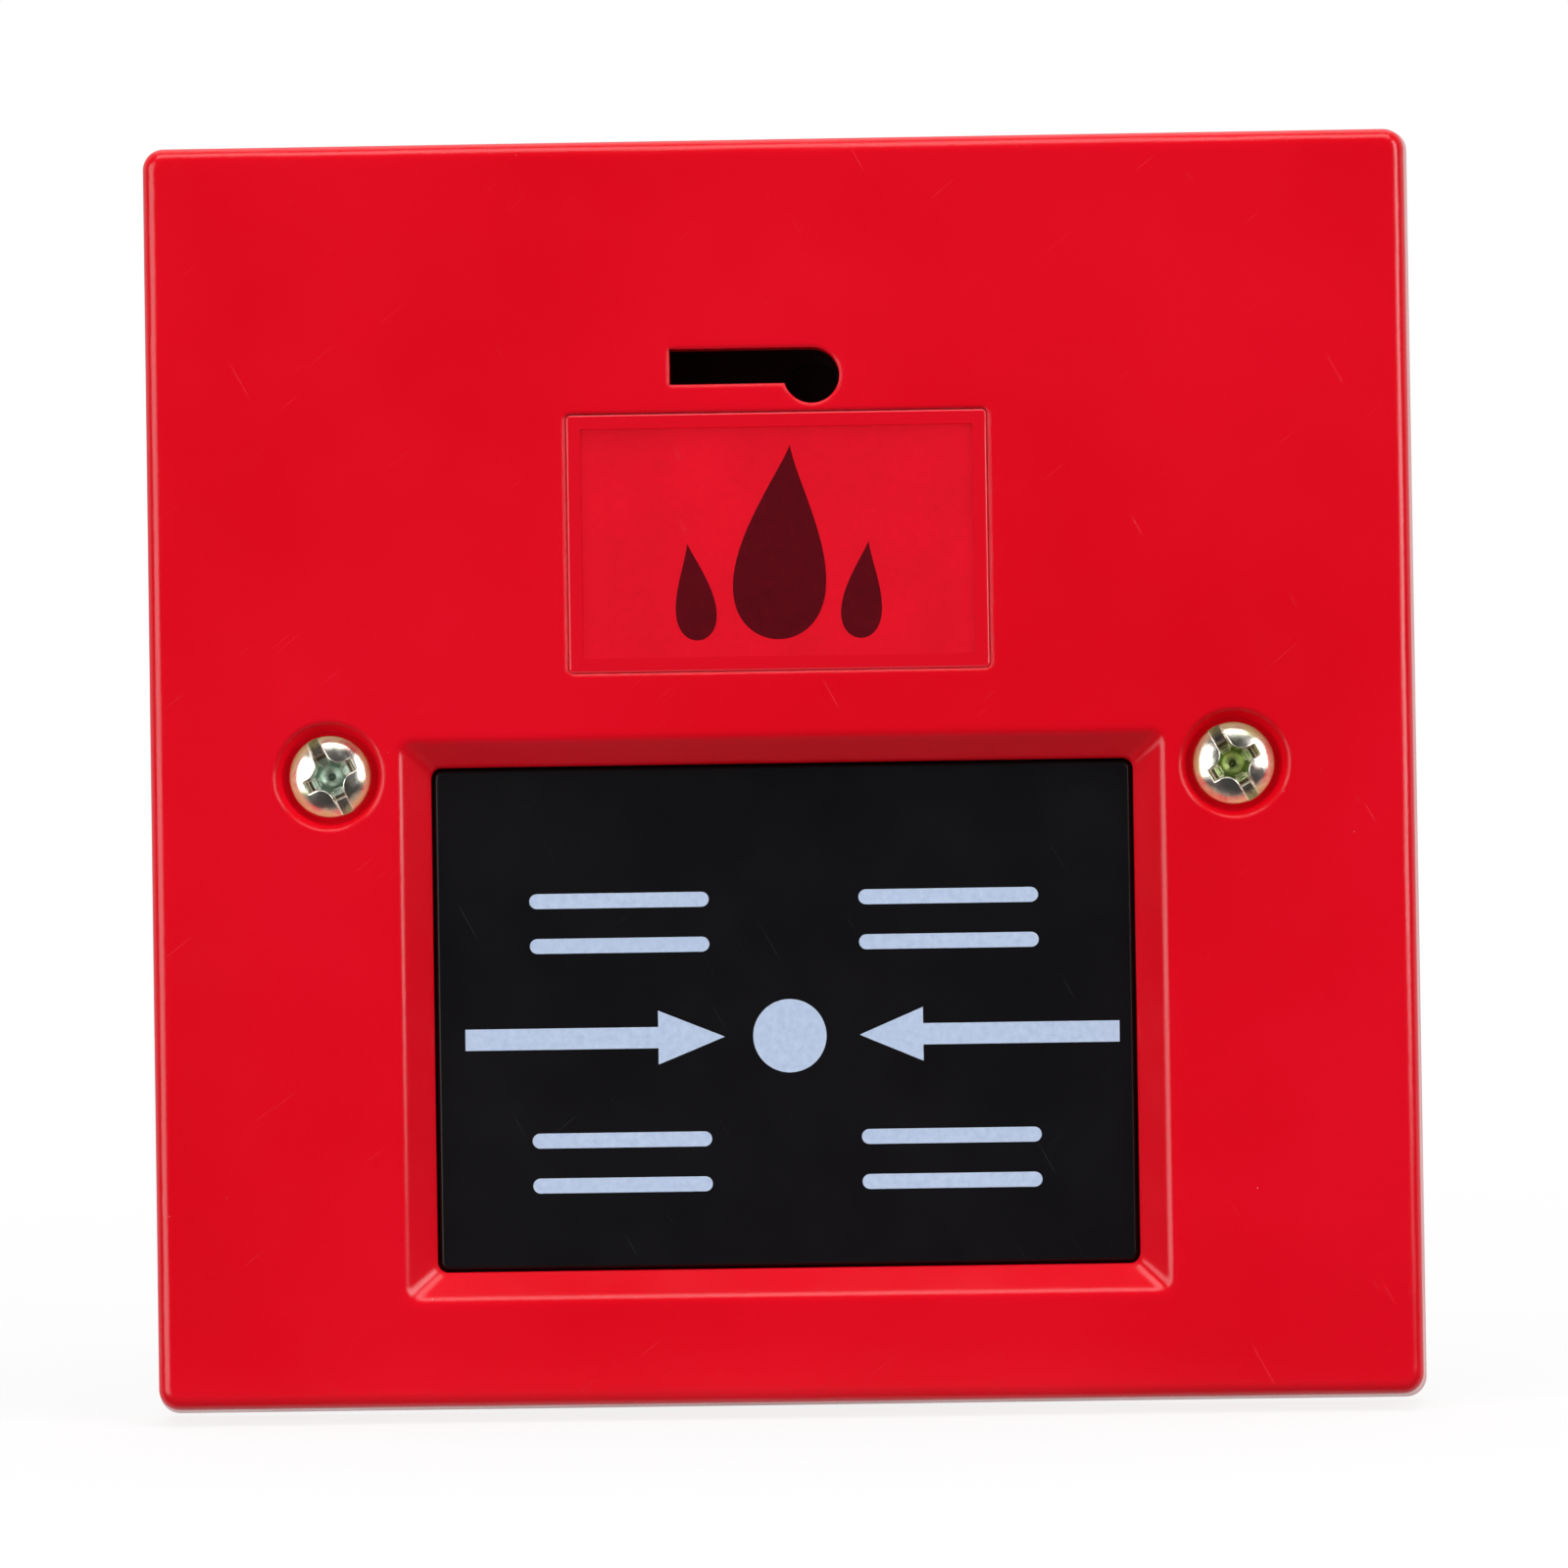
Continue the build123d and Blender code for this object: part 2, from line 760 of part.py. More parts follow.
def resistors():
    """Three axial resistors lying on the board, with their wires bent down to it."""
    parts = []
    for z in (6.6, 10.2, 13.8):
        middle = -11.0
        axis_y = board_rear + lying_part_rise
        body = Pos(middle, axis_y, z) * Rot(0, 90, 0) * Cylinder(1.0, 6.2)
        for side in (-1, 1):
            end = Pos(middle + side * 2.6, axis_y, z) * Rot(0, 90, 0)
            body += end * Cylinder(1.2, 1.4)
            body += Pos(middle + side * 4.0, axis_y, z) * Rot(0, 90, 0) * Cylinder(0.3, 2.4)
            body += rod(0.3, middle + side * 5.0, z, board_rear, axis_y + 0.3)
        parts.append(body)
    return parts


def diode():
    axis_y = board_rear + lying_part_rise
    body = Pos(0.0, axis_y, 6.6) * Rot(0, 90, 0) * Cylinder(1.1, 5.0)
    body += Pos(0.0, axis_y, 6.6) * Rot(0, 90, 0) * Cylinder(0.35, 9.0)
    for side in (-1, 1):
        body += rod(0.35, side * 4.4, 6.6, board_rear, axis_y + 0.35)
    return body


def capacitor():
    can = rod(can_r, can_x, can_z, board_rear, board_rear + 7.6)
    ends = can.edges().filter_by(GeomType.CIRCLE)
    can = fillet(ends, 0.4)
    groove = rod(can_r, can_x, can_z, board_rear + 1.1, board_rear + 1.6)
    neck = rod(can_r - 0.25, can_x, can_z, board_rear + 1.1, board_rear + 1.6)
    return can - (groove - neck)


def address_chip():
    body = block(9.0, 17.6, board_rear + 0.15, board_rear + 1.7, 13.0, 17.0)
    body = fillet(body.edges().filter_by(Axis.Y), 0.2)
    return body - rod(0.4, 10.0, 14.0, board_rear + 1.5, board_rear + 1.7)


def chip_leads():
    leads = []
    for i in range(7):
        x = 9.5 + lead_step * i
        for z, out in ((13.0, -1), (17.0, 1)):
            low_z, high_z = sorted((z, z + out * 0.9))
            foot_low, foot_high = sorted((z + out * 0.5, z + out * 1.1))
            lead = block(x - 0.2, x + 0.2, board_rear + 0.7, board_rear + 0.95, low_z, high_z)
            lead += block(x - 0.2, x + 0.2, board_rear, board_rear + 0.95, foot_low, foot_high)
            leads.append(lead)
    return leads


def terminal_block():
    body = block(-block_half, block_half, board_rear, block_rear, block_low, block_high)
    top = body.edges().filter_by(Axis.X).sort_by(Axis.Y)[-2:]
    body = chamfer(top, 0.8)
    for x in terminal_places():
        body -= block(
            x - 1.8, x + 1.8, cavity_low_y, cavity_high_y, block_high - cavity_depth, block_high
        )
        body -= rod(clamp_well_r, x, clamp_z, cavity_high_y, block_rear)
        body -= rod(pin_hole_r, x, clamp_z, board_rear, cavity_low_y)
    for i in range(block_ways - 1):
        x = -block_half + block_pitch * (i + 1)
        body -= block(x - 0.25, x + 0.25, board_rear + 6.6, block_rear, block_low, block_low + 1.0)
    return body


def terminal_clamps():
    clamps = []
    for x in terminal_places():
        body = block(
            x - 1.7, x + 1.7, cavity_low_y + 0.1, cavity_high_y - 0.1, clamp_z - 2.0, clamp_z + 2.0
        )
        body -= block(
            x - 1.2, x + 1.2, cavity_low_y + 0.6, cavity_high_y - 0.7, clamp_z - 2.0, clamp_z + 2.0
        )
        body -= rod(1.25, x, clamp_z, cavity_high_y - 0.7, cavity_high_y)
        clamps.append(body)
    return clamps


def terminal_screws():
    """Slotted clamp screws, backed off to leave room for a wire."""
    screws = []
    for i, x in enumerate(terminal_places()):
        body = rod(1.75, x, clamp_z, 18.0, 19.6)
        body += rod(1.2, x, clamp_z, cavity_high_y - 1.2, 18.0)
        slot = Pos(x, 19.6, clamp_z) * Rot(0, 35 * i, 0) * Box(4.0, 1.4, 0.6)
        screws.append(body - slot)
    return screws


def terminal_pins():
    half = 0.4
    return [
        block(x - half, x + half, board_y - 0.8, cavity_low_y + 0.1, clamp_z - half, clamp_z + half)
        for x in terminal_places()
    ]


def switch_case():
    cover_z = switch_high - switch_cover_thick
    body = block(-switch_half, switch_half, switch_front, switch_rear, switch_low, cover_z)
    body = fillet(body.edges().filter_by(Axis.Z), 0.6)
    ear_low = pivot_x - 1.4
    for z0, z1 in ((switch_low, switch_low + 0.8), (cover_z - 0.6, cover_z)):
        body += block(ear_low, pivot_x + 1.4, 6.3, switch_front + 0.6, z0, z1)
        body -= rod_z(trunnion_r + 0.05, pivot_x, pivot_y, z0, z1)
    body -= block(-9.2, 9.2, 9.0, switch_cavity_rear, switch_low + 0.9, cover_z)
    body -= rod(plunger_r + 0.06, plunger_x, switch_mid, switch_front, 9.0)
    for x in (-switch_hole_x, switch_hole_x):
        body -= rod_z(1.2, x, switch_hole_y, switch_low, cover_z)
    for x in switch_terminal_places():
        body -= block(x - 0.3, x + 0.3, 14.0, switch_rear, switch_mid - 1.65, switch_mid + 1.65)
    return body


def switch_cover():
    cover_z = switch_high - switch_cover_thick
    body = block(-switch_half, switch_half, switch_front, switch_rear, cover_z, switch_high)
    body = fillet(body.edges().filter_by(Axis.Z), 0.6)
    for x in (-switch_hole_x, switch_hole_x):
        body -= rod_z(1.2, x, switch_hole_y, cover_z, switch_high)
    return body


def switch_terminal_places():
    return (-8.2, 0.0, 8.2)


def switch_lever():
    """A flat spring lever with a trunnion rolled at its end."""
    length = (lever_tip_x - pivot_x) / cos(radians(lever_rest))
    strip = block(
        0, length, -lever_thick / 2, lever_thick / 2, -lever_half_width, lever_half_width
    )
    strip = fillet(strip.edges().filter_by(Axis.Y).sort_by(Axis.X)[-2:], 1.0)
    placed = Pos(pivot_x, pivot_y, switch_mid) * Rot(0, 0, -lever_rest) * strip
    cover_z = switch_high - switch_cover_thick
    trunnion = rod_z(trunnion_r, pivot_x, pivot_y, switch_low + 0.1, cover_z - 0.1)
    return placed + trunnion


def switch_plunger():
    body = rod(plunger_r, plunger_x, switch_mid, plunger_top, 11.2)
    body = fillet(body.edges().filter_by(GeomType.CIRCLE).sort_by(Axis.Y)[0], 0.5)
    return body + rod(1.4, plunger_x, switch_mid, 9.06, 9.7)


def switch_blade():
    """The moving contact strip, with a contact button on both faces of its end."""
    strip = block(blade_pivot_x, 7.4, blade_y - 0.12, blade_y + 0.12, switch_mid - 1.5, switch_mid + 1.5)
    strip += rod_z(0.4, blade_pivot_x, blade_y, switch_mid - 1.5, switch_mid + 1.5)
    return strip + rod(0.9, contact_x, switch_mid, blade_y - 0.45, blade_y + 0.45)


def switch_terminals():
    """Common, normally open and normally closed terminals, each with its inner contact."""
    low_z, high_z = switch_mid - 1.6, switch_mid + 1.6
    cavity_end = switch_cavity_rear - 0.05
    shelf_y = cavity_end - 0.45
    parts = []
    for x in switch_terminal_places():
        tail = block(x - 0.25, x + 0.25, cavity_end, 21.6, low_z, high_z)
        tail -= Pos(x, 20.4, switch_mid) * Rot(0, 90, 0) * Cylinder(0.7, 2.0)
        parts.append(tail)
    common, opened, closed = parts
    common += block(-8.45, blade_pivot_x + 0.3, shelf_y, cavity_end, low_z, high_z)
    common += block(-7.5, -7.0, 12.2, shelf_y, low_z, high_z)
    opened += block(-0.25, 6.9, shelf_y, cavity_end, low_z, high_z)
    opened += rod(0.9, contact_x, switch_mid, shelf_y - 0.15, shelf_y)
    closed += block(7.95, 8.45, 11.2, cavity_end, low_z, high_z)
    closed += block(5.6, 8.45, 11.2, 11.6, low_z, high_z)
    closed += rod(0.9, contact_x, switch_mid, 11.6, blade_y - 0.5)
    return [common, opened, closed]


def switch_bracket():
    upright = block(
        -9.0, 9.0, floor_rear, switch_rear, switch_low - bracket_thick, switch_low
    )
    upright = fillet(upright.edges().filter_by(Axis.Z).sort_by(Axis.Y)[-2:], 2.0)
    base_rear = floor_rear + bracket_thick
    base = block(-9.0, 9.0, floor_rear, base_rear, -28.0, switch_low - bracket_thick)
    base = fillet(base.edges().filter_by(Axis.Y).sort_by(Axis.Z)[:2], 2.0)
    for x in (-switch_hole_x, switch_hole_x):
        upright -= rod_z(1.25, x, switch_hole_y, switch_low - bracket_thick, switch_low)
    for x in (-bracket_fix_x, bracket_fix_x):
        base -= rod(1.4, x, bracket_fix_z, floor_rear, base_rear)
    return upright + base


def switch_screws():
    """Screws along Z through the switch and the bracket."""
    parts = []
    for x in (-switch_hole_x, switch_hole_x):
        body = rod_z(2.0, x, switch_hole_y, switch_high, switch_high + 1.3)
        body = fillet(body.edges().filter_by(GeomType.CIRCLE).sort_by(Axis.Z)[-1], 0.6)
        body += rod_z(1.1, x, switch_hole_y, -23.6, switch_high)
        body -= Pos(x, switch_hole_y, switch_high + 1.3) * Box(4.2, 0.5, 1.2)
        parts.append(body)
    return parts


def switch_nuts():
    parts = []
    low = switch_low - bracket_thick - 1.6
    for x in (-switch_hole_x, switch_hole_x):
        hexagon = Pos(x, switch_hole_y, low) * extrude(RegularPolygon(2.5, 6), amount=1.6)
        parts.append(hexagon - rod_z(1.12, x, switch_hole_y, low, low + 1.6))
    return parts


def bracket_screws():
    seat = floor_rear + bracket_thick
    return [
        pan_screw(x, bracket_fix_z, seat, self_tap_r, 2.6, 2.2, 1.6, turn)
        for x, turn in ((-bracket_fix_x, 10), (bracket_fix_x, 52))
    ]


def switch_wires():
    """Two insulated wires from the common and open terminals up to the board."""
    parts = []
    for x, end_x in ((-8.2, -3.2), (0.0, 5.6)):
        points = [
            (x - 0.9, 20.6, switch_mid),
            (x - 0.9, 20.4, switch_mid + 4.0),
            (x - 0.6, 20.0, switch_mid + 12.0),
            (end_x, 18.6, 0.0),
            (end_x, 15.0, 8.0),
            (end_x, board_rear + 0.02, 10.0),
        ]
        parts.append(wire_along(points, 0.6, ((0, 0, 1), (0, -1, 0))))
    return parts


nodes = {
    "front_plate": front_plate,
    "indicator_lens": indicator_lens,
    "legend_film": legend_film,
    "light_box": light_box,
    "press_panel": press_panel,
    "panel_springs": panel_springs,
    "latch_slider": latch_slider,
    "latch_springs": latch_springs,
    "chassis": chassis,
    "chassis_screws": chassis_screws,
    "rear_cover": rear_cover,
    "cover_screws": cover_screws,
    "fixing_screws": fixing_screws,
    "circuit_board": circuit_board,
    "board_screws": board_screws,
    "indicator_leds": indicator_leds,
    "led_leads": led_leads,
    "led_spacers": led_spacers,
    "resistors": resistors,
    "diode": diode,
    "capacitor": capacitor,
    "address_chip": address_chip,
    "chip_leads": chip_leads,
    "terminal_block": terminal_block,
    "terminal_clamps": terminal_clamps,
    "terminal_screws": terminal_screws,
    "terminal_pins": terminal_pins,
    "switch_case": switch_case,
    "switch_cover": switch_cover,
    "switch_plunger": switch_plunger,
    "switch_lever": switch_lever,
    "switch_blade": switch_blade,
    "switch_terminals": switch_terminals,
    "switch_bracket": switch_bracket,
    "switch_screws": switch_screws,
    "switch_nuts": switch_nuts,
    "bracket_screws": bracket_screws,
    "switch_wires": switch_wires,
}

os.makedirs("parts", exist_ok=True)
for name, make in nodes.items():
    made = make()
    solids = made if isinstance(made, list) else [made]
    flat = [solid for item in solids for solid in item.solids()]
    export_step(Compound(flat), f"parts/{name}.step")
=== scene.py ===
"""Looks of a manual call point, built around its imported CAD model.

Lengths are metres, and mm turns millimetres into them.
"""

import json
from math import cos, pi, radians, sin

import bmesh
import bpy
from mathutils import Matrix, Vector


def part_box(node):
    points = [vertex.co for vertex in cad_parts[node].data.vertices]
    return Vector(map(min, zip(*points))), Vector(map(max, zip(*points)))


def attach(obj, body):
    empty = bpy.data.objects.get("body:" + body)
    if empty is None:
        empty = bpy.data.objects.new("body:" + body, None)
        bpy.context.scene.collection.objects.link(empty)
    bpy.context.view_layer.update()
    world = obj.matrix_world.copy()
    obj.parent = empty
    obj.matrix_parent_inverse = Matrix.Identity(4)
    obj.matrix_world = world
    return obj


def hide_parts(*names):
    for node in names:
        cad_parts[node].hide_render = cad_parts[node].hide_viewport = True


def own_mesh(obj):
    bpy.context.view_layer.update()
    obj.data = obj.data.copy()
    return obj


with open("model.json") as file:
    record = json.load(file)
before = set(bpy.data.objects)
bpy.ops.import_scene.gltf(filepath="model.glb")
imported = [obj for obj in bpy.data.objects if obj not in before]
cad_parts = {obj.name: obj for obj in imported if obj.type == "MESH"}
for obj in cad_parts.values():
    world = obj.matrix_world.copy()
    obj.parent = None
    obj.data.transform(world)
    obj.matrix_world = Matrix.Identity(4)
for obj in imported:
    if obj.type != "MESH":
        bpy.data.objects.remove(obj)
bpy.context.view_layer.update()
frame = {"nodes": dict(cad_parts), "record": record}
nodes = frame["nodes"]
mm = 0.001

# ---------------------------------------------------------------- places read from the frame

plate_low, plate_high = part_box("front_plate")
film_low, film_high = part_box("legend_film")
screw_low, screw_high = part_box("fixing_screws")
face_y = plate_low.y
panel_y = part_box("press_panel")[0].y
head_r = screw_high.z
screw_x = screw_high.x - head_r

# ---------------------------------------------------------------- sizes of the added detail

# Points closer than this become one.
weld = 0.0015 * mm

# Prints stand a little proud of what they are on, and reach a little into it.
print_raise = 0.012 * mm
print_sink = 0.02 * mm

# The arrows and the dot lie on one line. Each arrow has a tail, a base of its head, and a tip.
arrow_z = -17.76 * mm
arrow_shaft = 1.42 * mm
arrow_head = 3.6 * mm
left_arrow = (-21.4 * mm, -8.5 * mm, -4.05 * mm)
right_arrow = (22.3 * mm, 9.2 * mm, 4.95 * mm)
dot_x = 0.29 * mm
dot_r = 2.45 * mm

# The bars lie in rows above and below that line.
bar_rows = (9.2 * mm, 6.2 * mm, -6.8 * mm, -9.8 * mm)
bar_height = 1.0 * mm
bar_inner = 5.0 * mm
bar_outer = 17.0 * mm

flame_height = 13.0 * mm
drop_fullness = 0.71

# The lens's border past the film, and the colour of the painted highlight along its edge.
lens_border = 0.85 * mm
lens_highlight = (0.86, 0.05, 0.07)

# A fixing screw. Heights in its head are measured from its seat, which lies behind the CAD head's front.
seat_depth = 1.98 * mm
seat_y = screw_low.y + seat_depth
head_top = 2.2 * mm
side_height = 1.35 * mm
head_edge = 0.18 * mm
neck_r = 1.45 * mm
thread_r = 1.75 * mm
thread_pitch = 0.6 * mm
thread_depth = 0.32 * mm
thread_start = 6.5 * mm
thread_step = 0.05 * mm
tip_chamfer = 0.8 * mm

# Its recess: the slot, the cross with its wing, half width and corner, and the core below them as pairs of
# height and radius in millimetres.
slot_reach = 3.2 * mm
slot_half = 0.42 * mm
slot_floor = head_top - 1.12 * mm
cross_floor = head_top - 1.45 * mm
cross_wings = (1.86 * mm, 0.46 * mm, 0.95 * mm)
throat_floor = 0.25 * mm
core_profile = ((-0.16, 0.2), (-0.10, 0.45), (0.03, 0.68), (0.22, 0.86), (0.5, 0.98), (1.1, 1.12))
left_turn = radians(116.0)
right_turn = radians(119.5)

# ---------------------------------------------------------------- lights, floor and viewpoint

# The surround's strength in front and behind, and the Y parts of a direction between which it changes.
room_light = 0.06
back_light = 0.9
room_edge = -0.05
back_edge = 0.10

# The floor's lift towards white, and the distances over which it fades for the camera and for other rays.
floor_r = 0.9
floor_lift = 0.85
floor_fade = (0.09, 0.32)
floor_unseen_fade = (0.02, 0.07)
floor_unseen_share = 0.4

camera_lens = 138.1
camera_range = 0.4
camera_side = radians(0.89)
camera_rise = radians(-0.89)
camera_roll = radians(-0.86)
camera_aim = (0.18 * mm, plate_low.y, -0.975 * mm)

# ---------------------------------------------------------------- materials


class Look:
    """A procedural material around one Principled shader, with helpers that add and join nodes."""

    def __init__(self, name, color, roughness, metallic=0.0):
        self.material = bpy.data.materials.new(name)
        self.material.use_nodes = True
        self.tree = self.material.node_tree
        self.tree.nodes.clear()
        self.output = self.add("OutputMaterial")
        self.shader = self.add("BsdfPrincipled")
        self.tree.links.new(self.shader.outputs[0], self.output.inputs["Surface"])
        self.place = self.add("TexCoord").outputs["Object"]
        self.set(self.shader, "Base Color", color)
        self.set(self.shader, "Roughness", roughness)
        self.set(self.shader, "Metallic", metallic)

    def add(self, kind, inputs=None, **settings):
        node = self.tree.nodes.new("ShaderNode" + kind)
        for name, value in settings.items():
            setattr(node, name, value)
        for name, value in (inputs or {}).items():
            self.set(node, name, value)
        return node

    def set(self, node, name, value):
        """Gives a node's input a plain value, a colour or another node's output."""
        socket = node.inputs[name]
        if isinstance(value, bpy.types.NodeSocket):
            self.tree.links.new(value, socket)
        elif socket.type == "RGBA" and len(value) == 3:
            socket.default_value = (*value, 1.0)
        else:
            socket.default_value = value

    def stretched(self, x, y, z):
        """Object coordinates scaled along each axis, so that a texture draws out into streaks."""
        mapping = self.add("Mapping", {"Vector": self.place, "Scale": (x, y, z)})
        return mapping.outputs[0]

    def noise(self, size, detail=3.0, place=None, roughness=0.5):
        """Cloudy noise from 0 to 1, with features about size metres across."""
        inputs = {"Vector": place or self.place, "Scale": 1 / size, "Detail": detail}
        inputs["Roughness"] = roughness
        return self.add("TexNoise", inputs).outputs["Fac"]

    def cells(self, size, place, feature="F1", output="Distance"):
        """A cell pattern with cells about size metres across."""
        inputs = {"Vector": place, "Scale": 1 / size}
        return self.add("TexVoronoi", inputs, feature=feature).outputs[output]

    def span(self, value, low, high, start=0.0, end=1.0):
        """Maps low..high to start..end, and holds the ends."""
        inputs = {"Value": value, "From Min": low, "From Max": high}
        inputs["To Min"] = start
        inputs["To Max"] = end
        return self.add("MapRange", inputs).outputs["Result"]

    def sum(self, a, b, operation="ADD"):
        """Two values joined by addition or by another operation."""
        node = self.add("Math", operation=operation)
        self.set_pair(node, a, b)
        return node.outputs[0]

    def set_pair(self, node, a, b):
        """Gives a node's first two inputs their values or outputs."""
        for socket, value in zip(node.inputs, (a, b)):
            if isinstance(value, bpy.types.NodeSocket):
                self.tree.links.new(value, socket)
            else:
                socket.default_value = value

    def blend(self, share, a, b):
        """Colour a turning into colour b by share."""
        node = self.add("Mix", data_type="RGBA")
        for index, value in ((0, share), (6, a), (7, b)):
            socket = node.inputs[index]
            if isinstance(value, bpy.types.NodeSocket):
                self.tree.links.new(value, socket)
            elif index == 0:
                socket.default_value = value
            else:
                socket.default_value = (*value, 1.0)
        return node.outputs[2]

    def ramp(self, value, *stops):
        """A colour ramp through (place, colour) stops."""
        node = self.add("ValToRGB", {"Fac": value})
        elements = node.color_ramp.elements
        for element, (at, color) in zip((elements[0], elements[1]), (stops[0], stops[-1])):
            element.position = at
            element.color = (*color, 1.0)
        for at, color in stops[1:-1]:
            elements.new(at).color = (*color, 1.0)
        return node.outputs["Color"]

    def edges(self, radius):
        """About 1 on edges sharper than radius, and 0 on flat or hollow places."""
        soft = self.add("Bevel", {"Radius": radius}, samples=4).outputs[0]
        sharp = self.add("NewGeometry").outputs["Normal"]
        node = self.add("VectorMath", operation="DOT_PRODUCT")
        self.set_pair(node, soft, sharp)
        return self.span(node.outputs["Value"], 0.995, 0.8)

    def bump(self, height, distance, normal=None):
        """Raises the surface by height times distance metres."""
        inputs = {"Height": height, "Distance": distance, "Strength": 1.0}
        if normal is not None:
            inputs["Normal"] = normal
        return self.add("Bump", inputs).outputs["Normal"]

    def specks(self, spacing, radius, share, offset=0.0):
        """Specks on surfaces that face the front: share of the squares of spacing metres hold one."""
        inputs = {"Vector": self.place, "Location": (offset, 0, offset), "Scale": (1, 0, 1)}
        flat = self.add("Mapping", inputs)
        wobble = self.noise(radius * 1.5, 2.0, flat.outputs[0])
        distance = self.cells(spacing, flat.outputs[0])
        distance = self.sum(distance, self.sum(wobble, radius / spacing * 0.8, "MULTIPLY"))
        dot = self.span(distance, radius / spacing * 1.3, radius / spacing)
        color = self.cells(spacing, flat.outputs[0], output="Color")
        kept = self.sum(self.add("SeparateColor", {"Color": color}).outputs[0], share, "LESS_THAN")
        normal = self.add("NewGeometry").outputs["Normal"]
        facing = self.add("SeparateXYZ", {"Vector": normal}).outputs["Y"]
        facing = self.sum(facing, -0.6, "LESS_THAN")
        return self.sum(self.sum(dot, kept, "MULTIPLY"), facing, "MULTIPLY")

    def finish(self, color=None, roughness=None, normal=None, **others):
        """Joins the outcome to the shader and gives the material. Underscores in others stand for spaces."""
        for name, value in (("Base Color", color), ("Roughness", roughness), ("Normal", normal)):
            if value is not None:
                self.set(self.shader, name, value)
        for name, value in others.items():
            self.set(self.shader, name.replace("_", " "), value)
        return self.material


def linear(red, green, blue):
    """A display colour from 0 to 255 as linear light."""
    shares = [v / 255 for v in (red, green, blue)]
    return tuple(v / 12.92 if v < 10.3 / 255 else ((v + 0.055) / 1.055) ** 2.4 for v in shares)


def scratches(look, along, across, cover, turn=0.0):
    """Sparse fine streaks, along by across metres, that cover a small share of the surface."""
    turned = look.add("Mapping", {"Vector": look.place, "Rotation": (0, turn, 0)}).outputs[0]
    scale = (along / across, along / across, 1.0)
    streaks = look.add("Mapping", {"Vector": turned, "Scale": scale}).outputs[0]
    line = look.noise(along, 1.0, streaks)
    patch = look.span(look.noise(along * 0.8, 1.0), 0.5, 0.6)
    edge = 0.78 - cover
    return look.sum(look.span(line, edge, edge + 0.03), patch, "MULTIPLY")


def screw_radius(look, parts):
    """Distance from the axis of the nearer fixing screw. parts are the separated object coordinates."""
    from_axis = look.sum(look.sum(parts.outputs["X"], 0.0, "ABSOLUTE"), screw_x, "SUBTRACT")
    flat = look.add("CombineXYZ", {"X": from_axis, "Y": parts.outputs["Z"]})
    return look.add("VectorMath", {0: flat.outputs[0]}, operation="LENGTH").outputs["Value"]


def plastic(name, color, dark, pale, roughness, grain, depth, dust=0.0, shine=0.5, glow=0.0):
    """Moulded plastic: slow colour drift, a moulded grain, fine scratches, dust and paler worn edges.

    glow is the strength of a painted glow: the plastic emits its own colour inside the counterbores so that
    they look lit, standing for the light that a thin moulding lets through. A plastic that glows has softer
    creases too.
    """
    look = Look(name, color, roughness)
    drift = look.span(look.noise(22 * mm, 2.0), 0.35, 0.65)
    body = look.blend(drift, color, dark)
    worn = look.sum(look.edges(0.12 * mm), look.span(look.noise(1.4 * mm), 0.42, 0.6), "MULTIPLY")
    body = look.blend(look.sum(worn, 0.4, "MULTIPLY"), body, pale)
    lines = look.sum(
        scratches(look, 9 * mm, 0.09 * mm, 0.02, 0.5),
        scratches(look, 6 * mm, 0.07 * mm, 0.02, -0.9),
        "MAXIMUM",
    )
    body = look.blend(look.sum(lines, 0.14, "MULTIPLY"), body, pale)
    if dust:
        fine = look.specks(2.2 * mm, 0.035 * mm, 0.35)
        coarse = look.specks(6.1 * mm, 0.07 * mm, 0.3, 7.3 * mm)
        fluff = look.sum(fine, coarse, "MAXIMUM")
        body = look.blend(look.sum(fluff, dust, "MULTIPLY"), body, (0.75, 0.70, 0.70))
    gloss = look.span(look.noise(5 * mm, 4.0), 0.3, 0.7, roughness - 0.03, roughness + 0.04)
    gloss = look.sum(gloss, look.sum(lines, 0.15, "MULTIPLY"))
    gloss = look.sum(gloss, look.sum(worn, 0.12, "MULTIPLY"))
    texture = look.noise(grain, 4.0, roughness=0.6)
    normal = look.bump(texture, depth)
    normal = look.bump(lines, -0.004 * mm, normal=normal)
    if glow:
        normal = look.add("Bevel", {"Radius": 0.5 * mm, "Normal": normal}, samples=8).outputs[0]
        # Painted glow: inside the counterbores the plastic emits its colour, so they look lit.
        parts = look.add("SeparateXYZ", {"Vector": look.place})
        near_screw = look.span(screw_radius(look, parts), 3.7 * mm, 3.5 * mm)
        sunk = look.span(parts.outputs["Y"], face_y + 0.1 * mm, face_y + 0.6 * mm)
        look.set(look.shader, "Emission Color", body)
        inside = look.sum(near_screw, sunk, "MULTIPLY")
        look.set(look.shader, "Emission Strength", look.sum(inside, glow, "MULTIPLY"))
    return look.finish(body, gloss, normal, Specular_IOR_Level=shine)


def metal(name, color, tint, roughness, brushed, wear):
    """Bare or plated metal: cloudy tint, fine drawn or tumbled marks, and duller worn edges."""
    look = Look(name, color, roughness, metallic=1.0)
    cloud = look.span(look.noise(1.6 * mm, 4.0), 0.35, 0.65)
    body = look.blend(cloud, color, tint)
    worn = look.sum(look.edges(0.06 * mm), look.span(look.noise(0.5 * mm), 0.4, 0.6), "MULTIPLY")
    body = look.blend(look.sum(worn, 0.5, "MULTIPLY"), body, wear)
    marks = look.noise(0.12 * mm, 3.0, look.stretched(1.0, 1.0, 1.0 - 0.9 * brushed))
    gloss = look.span(marks, 0.3, 0.7, roughness - 0.06, roughness + 0.08)
    normal = look.bump(marks, 0.0025 * mm)
    normal = look.bump(look.noise(0.7 * mm, 2.0), 0.006 * mm, normal=normal)
    return look.finish(body, gloss, normal)


